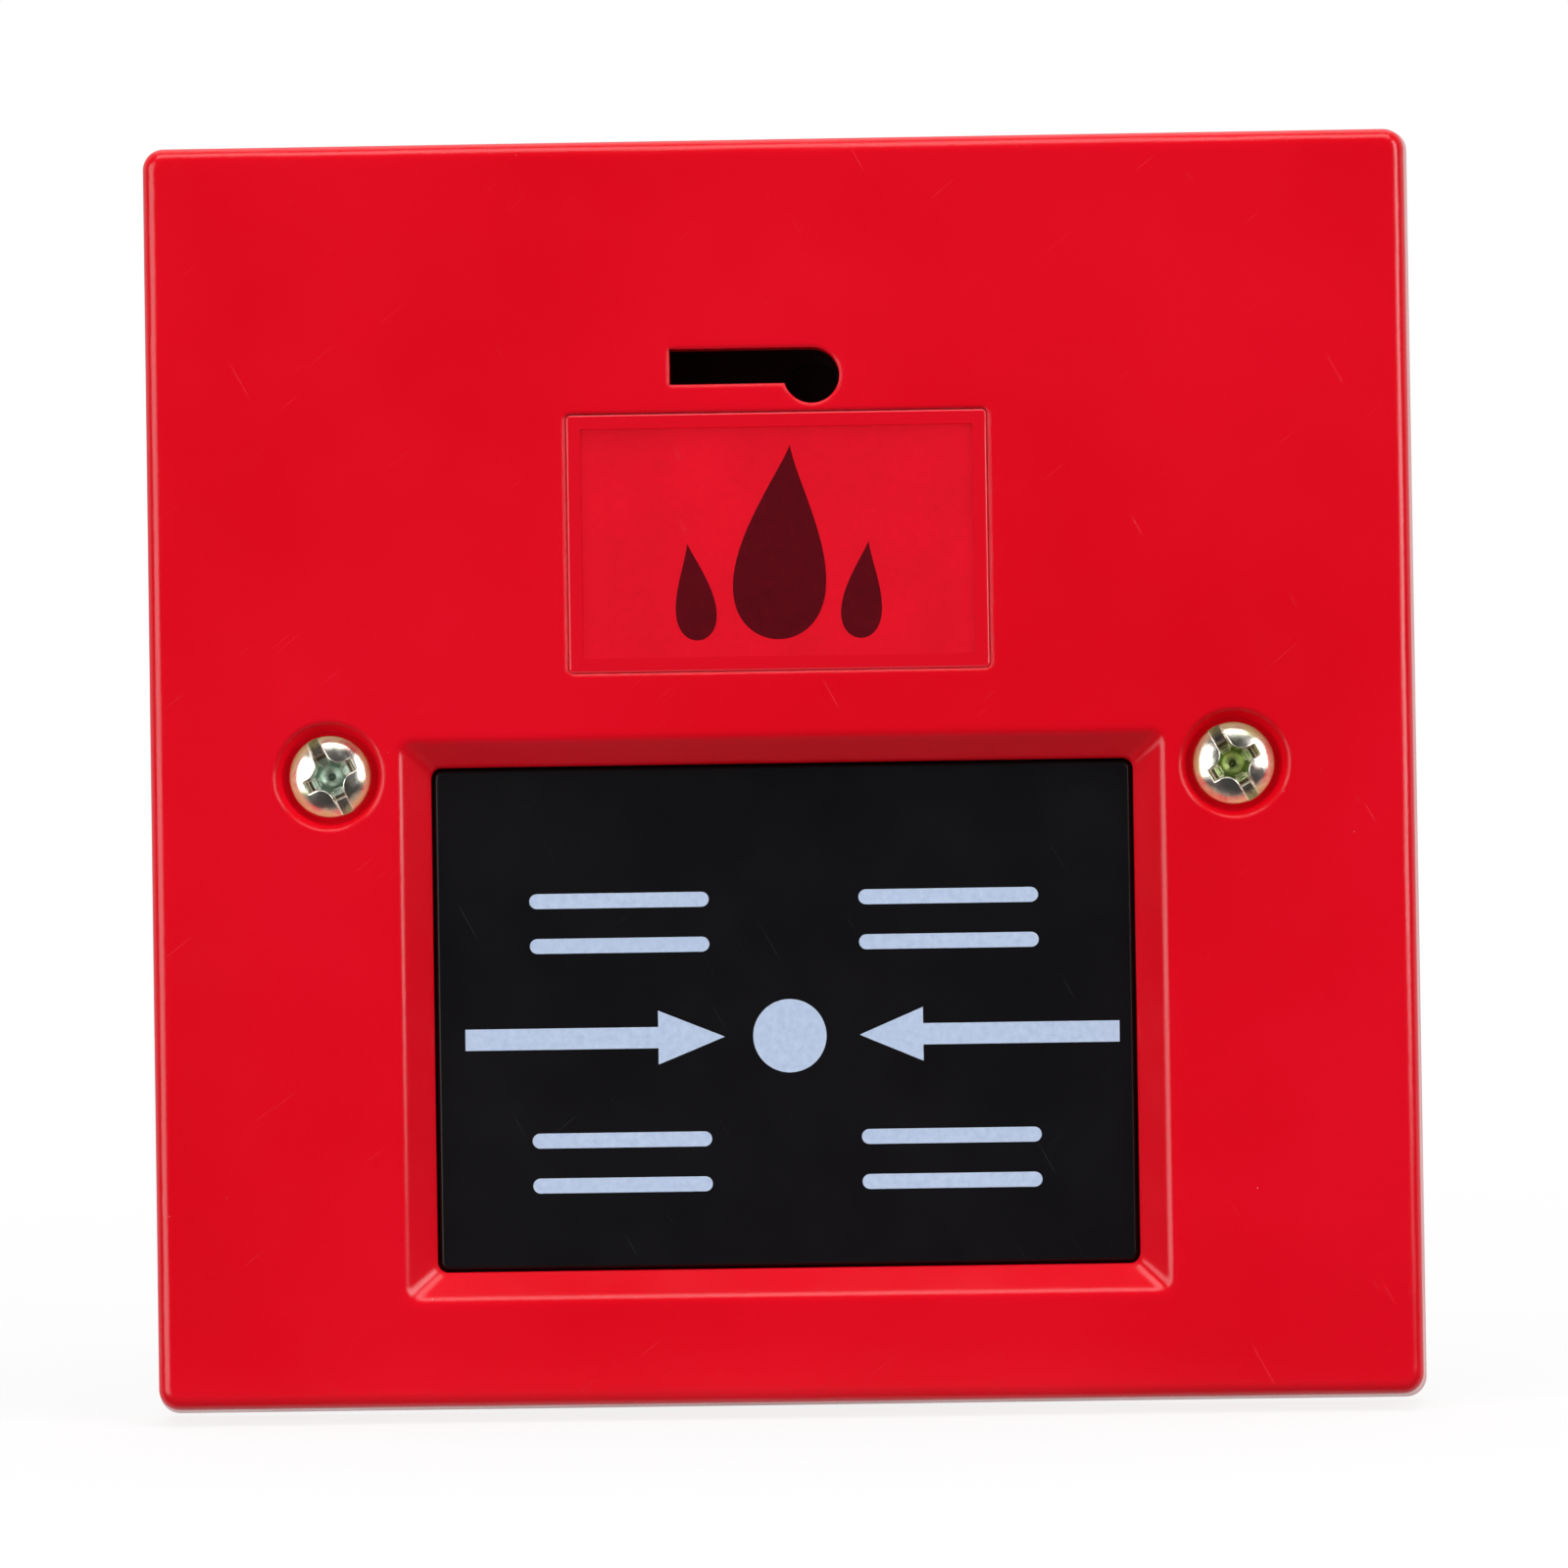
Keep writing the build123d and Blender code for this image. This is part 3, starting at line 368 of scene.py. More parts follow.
def yellow_zinc():
    """Yellow zinc plating, duller where it is worn.

    The dome is silvery with pink and green clouds, the rim is yellow-green, the slot's floors are brown, and
    the core of the recess is blue-green in the left screw and olive in the right one.
    """
    look = Look("yellow_zinc", (0.8, 0.8, 0.7), 0.2, metallic=1.0)
    parts = look.add("SeparateXYZ", {"Vector": look.place})
    radius = screw_radius(look, parts)
    cloud = look.span(look.noise(1.5 * mm, 3.0), 0.32, 0.68)
    body = look.ramp(
        cloud,
        (0.0, (0.88, 0.66, 0.58)),
        (0.3, (0.94, 0.88, 0.80)),
        (0.7, (0.90, 0.87, 0.78)),
        (1.0, (0.78, 0.82, 0.60)),
    )
    rim = look.span(look.sum(radius, look.sum(cloud, 0.5 * mm, "MULTIPLY")), 2.2 * mm, 2.9 * mm)
    body = look.blend(rim, body, (0.66, 0.76, 0.36))
    left_core = look.blend(cloud, (0.40, 0.56, 0.44), (0.66, 0.80, 0.70))
    right_core = look.blend(cloud, (0.34, 0.45, 0.12), (0.60, 0.74, 0.32))
    side = look.span(parts.outputs["X"], -mm, mm)
    core = look.blend(side, left_core, right_core)
    depth = look.span(parts.outputs["Y"], screw_low.y + 0.75 * mm, screw_low.y + 1.1 * mm)
    core = look.blend(look.span(radius, 1.25 * mm, 1.45 * mm), core, (0.20, 0.13, 0.06))
    inside = look.sum(depth, look.span(radius, 2.75 * mm, 2.7 * mm), "MULTIPLY")
    body = look.blend(inside, body, core)
    gloss = look.span(look.noise(0.5 * mm, 3.0), 0.3, 0.7, 0.14, 0.24)
    gloss = look.sum(gloss, look.sum(inside, 0.2, "MULTIPLY"))
    worn = look.sum(look.edges(0.16 * mm), look.span(radius, 2.7 * mm, 2.6 * mm), "MULTIPLY")
    body = look.blend(worn, body, (0.97, 0.93, 0.84))
    gloss = look.sum(gloss, look.sum(worn, 0.3, "MULTIPLY"))
    normal = look.bump(look.noise(0.16 * mm, 3.0), 0.0015 * mm)
    normal = look.bump(look.noise(1.1 * mm, 2.0), 0.012 * mm, normal=normal)
    soft = look.add("Bevel", {"Radius": 0.14 * mm, "Normal": normal}, samples=8).outputs[0]
    return look.finish(body, gloss, soft, Metallic=look.span(rim, 0.1, 0.8, 1.0, 0.3))


def ink(name, color, faded, roughness):
    """Screen-printed ink: cloudy cover, fine pinholes and a slightly grainy surface."""
    look = Look(name, color, roughness)
    cloud = look.span(look.noise(0.5 * mm, 4.0, roughness=0.6), 0.34, 0.7)
    body = look.blend(cloud, color, faded)
    streak = look.span(look.noise(3 * mm, 2.0, look.stretched(0.12, 1.0, 1.0)), 0.5, 0.7)
    body = look.blend(look.sum(streak, 0.35, "MULTIPLY"), body, faded)
    holes = look.specks(0.8 * mm, 0.04 * mm, 0.3, 3.1 * mm)
    body = look.blend(holes, body, (0.02, 0.02, 0.025))
    normal = look.bump(look.noise(0.15 * mm, 3.0), 0.004 * mm)
    return look.finish(body, look.span(cloud, 0, 1, roughness, roughness + 0.12), normal)


def see_through(name, tint, haze, share, roughness, window=None):
    """Clear tinted plastic: light passes with the tint, a little is scattered back, and the surface shines.

    window is an X-Z rectangle given as its low and high corners. Outside it the camera sees nothing through
    the plastic, and lens_border past it the surface takes a paler colour, a painted highlight along the
    lens's edge.
    """
    look = Look(name, haze, roughness)
    cloud = look.span(look.noise(6 * mm, 3.0), 0.3, 0.7)
    clouded = look.blend(cloud, tint, tuple(v * 0.97 for v in tint))
    through = look.add("BsdfTransparent", {"Color": clouded})
    milk = look.add("BsdfDiffuse", {"Color": haze})
    if window:
        low, high = window
        highlight_line = 0.0
        seen = look.add("LightPath").outputs["Is Camera Ray"]
        parts = look.add("SeparateXYZ", {"Vector": look.place})
        for axis in ("X", "Z"):
            middle = (getattr(low, axis.lower()) + getattr(high, axis.lower())) / 2
            reach = (getattr(high, axis.lower()) - getattr(low, axis.lower())) / 2
            offset = look.sum(look.sum(parts.outputs[axis], middle, "SUBTRACT"), 0.0, "ABSOLUTE")
            edge = look.sum(offset, reach - 0.1 * mm, "GREATER_THAN")
            share = look.sum(share, look.sum(edge, seen, "MULTIPLY"), "MAXIMUM")
            # Painted highlight: a thin paler line in the lens's colour along its edge.
            outline = look.span(offset, reach + lens_border - 0.14 * mm, reach + lens_border - 0.08 * mm)
            highlight_line = look.sum(highlight_line, outline, "MAXIMUM")
        look.set(milk, "Color", look.blend(highlight_line, haze, lens_highlight))
    body = look.add("MixShader", {0: share, 1: through.outputs[0], 2: milk.outputs[0]})
    lines = look.sum(
        scratches(look, 5 * mm, 0.05 * mm, 0.02, 0.4),
        scratches(look, 4 * mm, 0.05 * mm, 0.015, -1.1),
        "MAXIMUM",
    )
    normal = look.bump(look.noise(4 * mm, 1.0), 0.006 * mm)
    normal = look.bump(lines, -0.003 * mm, normal=normal)
    gloss = look.sum(roughness, look.sum(lines, 0.2, "MULTIPLY"))
    shine = look.add("BsdfGlossy", {"Roughness": gloss, "Normal": normal})
    rim = look.add("Fresnel", {"IOR": 1.49, "Normal": normal}).outputs[0]
    outside = look.sum(1.0, look.add("NewGeometry").outputs["Backfacing"], "SUBTRACT")
    rim = look.sum(rim, outside, "MULTIPLY")
    whole = look.add("MixShader", {0: rim, 1: body.outputs[0], 2: shine.outputs[0]})
    look.tree.nodes.remove(look.shader)
    look.tree.links.new(whole.outputs[0], look.output.inputs["Surface"])
    return look.material


def board_green():
    """Green solder mask over copper: a net of paler raised lines where the copper lies, and faint clouds."""
    look = Look("board_green", (0.01, 0.16, 0.07), 0.3)
    flat = look.stretched(1.0, 0.0, 1.0)
    gap = look.cells(3.2 * mm, flat, "DISTANCE_TO_EDGE")
    track = look.span(gap, 0.09, 0.06)
    body = look.blend(track, (0.008, 0.12, 0.05), (0.03, 0.30, 0.14))
    cloud = look.noise(0.4 * mm, 2.0)
    body = look.blend(look.sum(cloud, 0.2, "MULTIPLY"), body, (0.02, 0.2, 0.1))
    normal = look.bump(track, 0.03 * mm)
    return look.finish(body, look.span(cloud, 0.3, 0.7, 0.22, 0.36), normal)


def banded(name, node, lacquer, body_half, bands):
    """A lacquered body with painted bands across X, and bare tinned wire beyond its ends."""
    low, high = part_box(node)
    middle = (low.x + high.x) / 2
    look = Look(name, lacquer, 0.35)
    across = look.sum(look.add("SeparateXYZ", {"Vector": look.place}).outputs["X"], middle, "SUBTRACT")
    place = look.span(across, -body_half, body_half)
    stops = [(0.0, lacquer)]
    for at, color in bands:
        stops += [(at - 0.045, lacquer), (at - 0.04, color), (at + 0.04, color), (at + 0.045, lacquer)]
    body = look.ramp(place, *stops)
    drift = look.span(look.noise(0.9 * mm), 0.35, 0.65)
    body = look.blend(look.sum(drift, 0.15, "MULTIPLY"), body, (0.3, 0.25, 0.2))
    bare = look.sum(look.sum(across, 0.0, "ABSOLUTE"), body_half, "GREATER_THAN")
    body = look.blend(bare, body, (0.72, 0.72, 0.70))
    gloss = look.span(look.noise(0.8 * mm), 0.3, 0.7, 0.28, 0.42)
    normal = look.bump(look.noise(0.4 * mm, 2.0), 0.02 * mm)
    return look.finish(body, gloss, normal, Metallic=bare)


# ---------------------------------------------------------------- mesh tools


def new_piece(name, mesh, body, material):
    """Links a mesh as a piece of the object that rides on a body."""
    piece = bpy.data.objects.new(name, mesh)
    bpy.context.scene.collection.objects.link(piece)
    mesh.materials.clear()
    mesh.materials.append(material)
    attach(piece, body)
    return piece


def mesh_from(name, build, smooth=True):
    """A new mesh with welded points and outward faces, from what build puts into a bmesh."""
    work = bmesh.new()
    build(work)
    bmesh.ops.remove_doubles(work, verts=work.verts, dist=weld)
    bmesh.ops.recalc_face_normals(work, faces=work.faces)
    mesh = bpy.data.meshes.new(name)
    work.to_mesh(mesh)
    work.free()
    if smooth:
        mesh.shade_smooth()
    return mesh


def add_rings(work, rings):
    """Joins rings of points into one skin, with one face over each end."""
    rows = [[work.verts.new(point) for point in ring] for ring in rings]
    for near, far in zip(rows, rows[1:]):
        count = len(near)
        for i in range(count):
            j = (i + 1) % count
            work.faces.new((near[i], near[j], far[j], far[i]))
    work.faces.new(rows[0])
    work.faces.new(list(reversed(rows[-1])))


def add_tube(work, path, radius, sides=10):
    """A round wire along a path of points, with its section carried along without twisting."""
    points = [Vector(p) for p in path]
    rings = []
    side = None
    for i, point in enumerate(points):
        ahead = (points[min(i + 1, len(points) - 1)] - points[max(i - 1, 0)]).normalized()
        if side is None:
            side = ahead.orthogonal().normalized()
        side = (side - ahead * side.dot(ahead)).normalized()
        up = ahead.cross(side)
        ring = []
        for k in range(sides):
            turn = 2 * pi * k / sides
            ring.append(point + radius * (cos(turn) * side + sin(turn) * up))
        rings.append(ring)
    add_rings(work, rings)


def add_prism(work, outline, near, far):
    """A closed block with an X-Z outline between two depths."""
    add_rings(work, [[(x, y, z) for x, z in outline] for y in (near, far)])


def circle(x, z, radius, count=64):
    """Points of a circle on the X-Z plane."""
    turns = [2 * pi * i / count for i in range(count)]
    return [(x + radius * cos(turn), z + radius * sin(turn)) for turn in turns]


def add_bar(work, left, right, z, height, near, far):
    """A plain bar along X with round ends."""
    end = height / 2
    outline = []
    for x, start in ((right - end, -90), (left + end, 90)):
        for i in range(13):
            turn = radians(start + 15 * i)
            outline.append((x + end * cos(turn), z + end * sin(turn)))
    add_prism(work, outline, near, far)


def add_flame(work, x, low, high, width, lean, near, far):
    """A plain drop with a round foot and a pointed tip that leans to one side."""
    count = 72
    outline = []
    for i in range(count):
        turn = 2 * pi * i / count
        rise = (1 + cos(turn)) / 2
        across = drop_fullness * sin(turn) * abs(sin(turn / 2)) ** 1.5
        outline.append((x + across * width + lean * rise**2, low + (high - low) * rise))
    add_prism(work, outline, near, far)


def add_arrow(work, tail, base, tip, z, shaft, head, near, far):
    """A plain arrow along X: a bar from tail to base, then a head that ends at tip."""
    outline = [(tail, z - shaft / 2), (base, z - shaft / 2), (base, z - head / 2), (tip, z)]
    outline += [(x, 2 * z - height) for x, height in reversed(outline[:3])]
    add_prism(work, outline, near, far)


# ---------------------------------------------------------------- pieces


def panel_print():
    """The white print on the panel: two arrows that point at a dot, between plain bars."""
    near = panel_y - print_raise
    far = panel_y + print_sink

    def build(work):
        add_prism(work, circle(dot_x, arrow_z, dot_r), near, far)
        for tail, base, tip in (left_arrow, right_arrow):
            add_arrow(work, tail, base, tip, arrow_z, arrow_shaft, arrow_head, near, far)
        for row in bar_rows:
            for left, right in ((-bar_outer, -bar_inner), (bar_inner, bar_outer)):
                add_bar(work, left, right, arrow_z + row, bar_height, near, far)

    mesh = mesh_from("panel_print", build, smooth=False)
    new_piece("panel_print", mesh, "press_panel", panel_ink)


def legend_print():
    """The dark flame printed on the film behind the lens: a tall drop between two small ones."""
    near = film_low.y - print_raise
    far = film_low.y + print_sink
    foot = (film_low.z + film_high.z) / 2 - flame_height / 2

    small = 0.5 * flame_height
    spread = 0.42 * flame_height

    def build(work):
        add_flame(work, 0.0, foot, foot + flame_height, 0.48 * flame_height, 0.9 * mm, near, far)
        for side in (-1, 1):
            lean = side * 0.6 * mm
            add_flame(work, side * spread, foot, foot + small, 0.42 * small, lean, near, far)

    mesh = mesh_from("legend_print", build, smooth=False)
    new_piece("legend_print", mesh, "plate", legend_ink)


def recess_outline(scale, wing, half, nose_r):
    """A cross with rounded inner corners: wing is its reach and half its half width."""
    points = []
    middle = half + nose_r
    for quarter in range(4):
        corner = [(wing, half), (middle, half)]
        for i in range(1, 8):
            turn = radians(270 - 90 * i / 8)
            corner.append((middle + nose_r * cos(turn), middle + nose_r * sin(turn)))
        corner += [(half, middle), (half, wing)]
        across = cos(quarter * pi / 2)
        along = sin(quarter * pi / 2)
        for u, v in corner:
            points.append((scale * (u * across - v * along), scale * (u * along + v * across)))
    return points


def add_loft(work, levels):
    """A closed solid through outlines in the screw's own frame: (height, points) pairs."""
    add_rings(work, [[(u, v, height) for u, v in outline] for height, outline in levels])


def screw_blank(work):
    """The screw before its recess is cut: a domed head and a shank whose radius follows the thread."""
    count = 48
    dome = head_top - side_height
    ball_r = (head_r**2 + dome**2) / (2 * dome)
    profile = []
    for i in range(1, 19):
        r = (head_r - head_edge) * i / 18
        profile.append((r, head_top - ball_r + (ball_r**2 - r**2) ** 0.5))
    profile.append((head_r - 0.3 * head_edge, profile[-1][1] - 0.45 * head_edge))
    profile += [(head_r, side_height - head_edge), (head_r, head_edge)]
    profile += [(head_r - head_edge, 0.0), (neck_r, 0.0)]
    rings = [[(x, y, height) for x, y in circle(0, 0, r, count)] for r, height in profile]
    height = -thread_step
    while height > seat_y - screw_high.y:
        ring = []
        for k in range(count):
            turn = k / count
            wave = abs(((height / thread_pitch + turn) % 1.0) * 2 - 1)
            wanted = thread_r - thread_depth * (1 - wave)
            depth = -height
            taper = min(1.0, max(0.0, (depth - thread_start) / thread_pitch))
            past_chamfer = depth - (screw_high.y - seat_y - tip_chamfer)
            r = neck_r + (wanted - neck_r) * taper
            if past_chamfer > 0:
                r = min(r, thread_r - past_chamfer * 0.9)
            ring.append((r * cos(2 * pi * turn), r * sin(2 * pi * turn), height))
        rings.append(ring)
        height -= thread_step
    add_rings(work, rings)


def cut(blank, cutter):
    """The blank mesh with the cutter's volume taken away."""
    scene = bpy.context.scene
    body = bpy.data.objects.new("blank", blank)
    tool = bpy.data.objects.new("cutter", cutter)
    scene.collection.objects.link(body)
    scene.collection.objects.link(tool)
    step = body.modifiers.new("cut", "BOOLEAN")
    step.operation = "DIFFERENCE"
    step.solver = "EXACT"
    step.object = tool
    result = bpy.data.meshes.new_from_object(body.evaluated_get(bpy.context.evaluated_depsgraph_get()))
    bpy.data.objects.remove(body)
    bpy.data.objects.remove(tool)
    return result


def fixing_screw():
    """One screw in its own frame, head up along Z, with a slot, a cross and a deeper core."""
    blank = mesh_from("blank", screw_blank)
    above = head_top + 0.5 * mm
    slot = [(-slot_reach, -slot_half), (slot_reach, -slot_half)]
    slot += [(slot_reach, slot_half), (-slot_reach, slot_half)]
    wings = [recess_outline(scale, *cross_wings) for scale in (0.58, 0.70, 0.84, 1.06)]
    cutters = (
        [(slot_floor, slot), (above, slot)],
        [(cross_floor, wings[2]), (above, wings[3])],
        [(throat_floor, wings[0]), (head_top - 1.2 * mm, wings[1])],
        [(height * mm, circle(0, 0, r * mm, 32)) for height, r in core_profile],
        [(-0.55 * mm, circle(0, 0, 0.12 * mm, 24)), (0.05 * mm, circle(0, 0, 0.34 * mm, 24))],
    )
    result = blank
    for levels in cutters:
        cutter = mesh_from("cutter", lambda work, levels=levels: add_loft(work, levels), smooth=False)
        result = cut(result, cutter)
    return result


def fixing_screws():
    """Both screws in place, each turned so that its slot lies as it was left."""
    shape = fixing_screw()

    def build(work):
        for side, turn in ((-1, left_turn), (1, right_turn)):
            part = bmesh.new()
            part.from_mesh(shape)
            stand = Matrix.Rotation(pi / 2, 4, "X")
            spin = Matrix.Rotation(turn, 4, "Z")
            place = Matrix.Translation((side * screw_x, seat_y, 0.0))
            bmesh.ops.transform(part, matrix=place @ stand @ spin, verts=part.verts)
            solid = bpy.data.meshes.new("screw")
            part.to_mesh(solid)
            part.free()
            work.from_mesh(solid)

    mesh = mesh_from("fixing_screws_detailed", build)
    mesh.set_sharp_from_angle(angle=radians(35))
    piece = new_piece("fixing_screws_detailed", mesh, "plate", looks["yellow_zinc"])
    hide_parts("fixing_screws")


def closed_coil(wire, turns, start, end):
    """Turn and height pairs of a compression spring whose first and last turns are closed up."""
    per_turn = 24
    pitch = (end - start - 3 * wire) / (turns - 2)
    points = []
    for i in range(turns * per_turn + 1):
        turn = i / per_turn
        closed = min(turn, 1.0) + max(0.0, turn - (turns - 1))
        points.append((2 * pi * turn, start + wire / 2 + closed * wire + (turn - closed) * pitch))
    return points


def panel_coils():
    """The four springs behind the panel, finer than their CAD shapes."""
    low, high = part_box("panel_springs")
    wire = 0.5 * mm
    coil = 2.15 * mm
    reach = coil + wire / 2

    def build(work):
        for x in (low.x + reach, high.x - reach):
            for z in (low.z + reach, high.z - reach):
                path = closed_coil(wire, 7, low.y, high.y)
                add_tube(work, [(x + coil * cos(a), y, z + coil * sin(a)) for a, y in path], wire / 2)

    mesh = mesh_from("panel_coils", build)
    piece = new_piece("panel_coils", mesh, "plate", looks["spring_steel"])
    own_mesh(piece)
    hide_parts("panel_springs")


def latch_coils():
    """The two tension springs of the latch: a close coil with a loop at each end.

    They shorten between the two places where the loops bear on their pegs, so both stay on the pegs.
    """
    low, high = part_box("latch_springs")
    wire_r = 0.15 * mm
    coil = 1.15 * mm
    middle_x = 6.5 * mm
    middle_y = 3.0 * mm
    low_peg = low.z + coil + wire_r
    high_peg = high.z - coil - wire_r
    gap = coil + 0.35 * mm
    turns = 9
    per_turn = 20
    arc = 250
    path = []
    for i in range(20):
        turn = radians(arc * i / 20 - arc)
        path.append((coil * cos(turn), 0.0, low_peg + coil * sin(turn)))
    for i in range(turns * per_turn + 1):
        turn = 2 * pi * i / per_turn
        climb = (high_peg - low_peg - 2 * gap) * i / (turns * per_turn)
        path.append((coil * cos(turn), coil * sin(turn), low_peg + gap + climb))
    for i in range(1, 21):
        turn = radians(arc * i / 20)
        path.append((coil * cos(turn), 0.0, high_peg + coil * sin(turn)))

    def build(work):
        for side in (-1, 1):
            add_tube(work, [(side * middle_x + x, middle_y + y, z) for x, y, z in path], wire_r)

    mesh = mesh_from("latch_coils", build)
    piece = new_piece("latch_coils", mesh, "plate", looks["spring_steel"])
    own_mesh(piece)
    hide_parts("latch_springs")


# ---------------------------------------------------------------- stage, lights and camera


def world_light():
    """A white surround behind the object and where the camera looks past it, and a dim room in front."""
    world = bpy.data.worlds.new("studio")
    bpy.context.scene.world = world
    world.use_nodes = True
    tree = world.node_tree
    tree.nodes.clear()
    output = tree.nodes.new("ShaderNodeOutputWorld")
    white = tree.nodes.new("ShaderNodeBackground")
    white.inputs["Color"].default_value = (1, 1, 1, 1)
    dim = tree.nodes.new("ShaderNodeBackground")
    path = tree.nodes.new("ShaderNodeLightPath")
    place = tree.nodes.new("ShaderNodeTexCoord")
    parts = tree.nodes.new("ShaderNodeSeparateXYZ")
    behind = tree.nodes.new("ShaderNodeMapRange")
    behind.inputs["From Min"].default_value = room_edge
    behind.inputs["From Max"].default_value = back_edge
    behind.inputs["To Min"].default_value = room_light
    behind.inputs["To Max"].default_value = back_light
    tree.links.new(place.outputs["Generated"], parts.inputs[0])
    tree.links.new(parts.outputs["Y"], behind.inputs["Value"])
    tree.links.new(behind.outputs["Result"], dim.inputs["Strength"])
    mix = tree.nodes.new("ShaderNodeMixShader")
    tree.links.new(path.outputs["Is Camera Ray"], mix.inputs[0])
    tree.links.new(dim.outputs[0], mix.inputs[1])
    tree.links.new(white.outputs[0], mix.inputs[2])
    tree.links.new(mix.outputs[0], output.inputs["Surface"])


def softbox(name, place, aim, width, height, radiance):
    """A rectangular soft light that the camera doesn't see."""
    light = bpy.data.lights.new(name, "AREA")
    light.shape = "RECTANGLE"
    light.size = width
    light.size_y = height
    light.energy = radiance * pi * width * height
    box = bpy.data.objects.new(name, light)
    bpy.context.scene.collection.objects.link(box)
    box.location = place
    box.rotation_euler = (Vector(aim) - Vector(place)).to_track_quat("-Z", "Y").to_euler()
    box.visible_camera = False


def floor():
    """A pale round floor under the plate that fades out into the white surround."""
    top = plate_low.z - 0.2 * mm
    middle = Vector((0, (plate_low.y + plate_high.y) / 2, 0))
    count = 96

    def build(work):
        hub = work.verts.new((middle.x, middle.y, top))
        rows = []
        for r in (0.02, 0.06, 0.12, 0.2, 0.35, 0.6, floor_r):
            rows.append([work.verts.new((x, y, top)) for x, y in circle(middle.x, middle.y, r, count)])
        for i in range(count):
            j = (i + 1) % count
            work.faces.new((hub, rows[0][i], rows[0][j]))
            for near, far in zip(rows, rows[1:]):
                work.faces.new((near[i], far[i], far[j], near[j]))

    mesh = mesh_from("floor", build)
    disc = bpy.data.objects.new("floor", mesh)
    bpy.context.scene.collection.objects.link(disc)
    look = Look("pale_floor", (0.9, 0.9, 0.9), 0.8)
    cloudy = look.blend(look.noise(8 * mm), (0.86, 0.86, 0.86), (0.9, 0.9, 0.9))
    pale = look.add("BsdfDiffuse", {"Color": cloudy})
    bright = look.add("Emission", {"Color": (1, 1, 1), "Strength": 1.0})
    seen = look.add("LightPath").outputs["Is Camera Ray"]
    lift = look.sum(seen, floor_lift, "MULTIPLY")
    lifted = look.add("MixShader", {0: lift, 1: pale.outputs[0], 2: bright.outputs[0]})
    away = look.add("VectorMath", {0: look.place, 1: middle}, operation="DISTANCE").outputs["Value"]
    clear = look.add("BsdfTransparent", {"Color": (1, 1, 1)})
    fade = look.span(away, *floor_fade)
    unseen_fade = look.span(away, *floor_unseen_fade, floor_unseen_share, 1.0)
    fade = look.sum(fade, seen, "MULTIPLY")
    unseen_fade = look.sum(unseen_fade, look.sum(1.0, seen, "SUBTRACT"), "MULTIPLY")
    fade = look.sum(fade, unseen_fade)
    whole = look.add("MixShader", {0: fade, 1: lifted.outputs[0], 2: clear.outputs[0]})
    look.tree.nodes.remove(look.shader)
    look.tree.links.new(whole.outputs[0], look.output.inputs["Surface"])
    mesh.materials.append(look.material)


def camera():
    """The viewpoint: straight on, a touch right of and below the middle, rolled a little."""
    data = bpy.data.cameras.new("camera")
    data.sensor_width = 36.0
    data.lens = camera_lens
    data.clip_start = 0.01
    eye = bpy.data.objects.new("camera", data)
    bpy.context.scene.collection.objects.link(eye)
    aim = Vector(camera_aim)
    level = cos(camera_rise)
    away = Vector((sin(camera_side) * level, -cos(camera_side) * level, sin(camera_rise)))
    eye.location = aim + camera_range * away
    look_at = (aim - eye.location).to_track_quat("-Z", "Y").to_matrix().to_4x4()
    eye.matrix_world = Matrix.Translation(eye.location) @ look_at @ Matrix.Rotation(camera_roll, 4, "Z")
    bpy.context.scene.camera = eye
    bpy.context.scene.view_settings.view_transform = "Standard"


# ---------------------------------------------------------------- looks of every surface

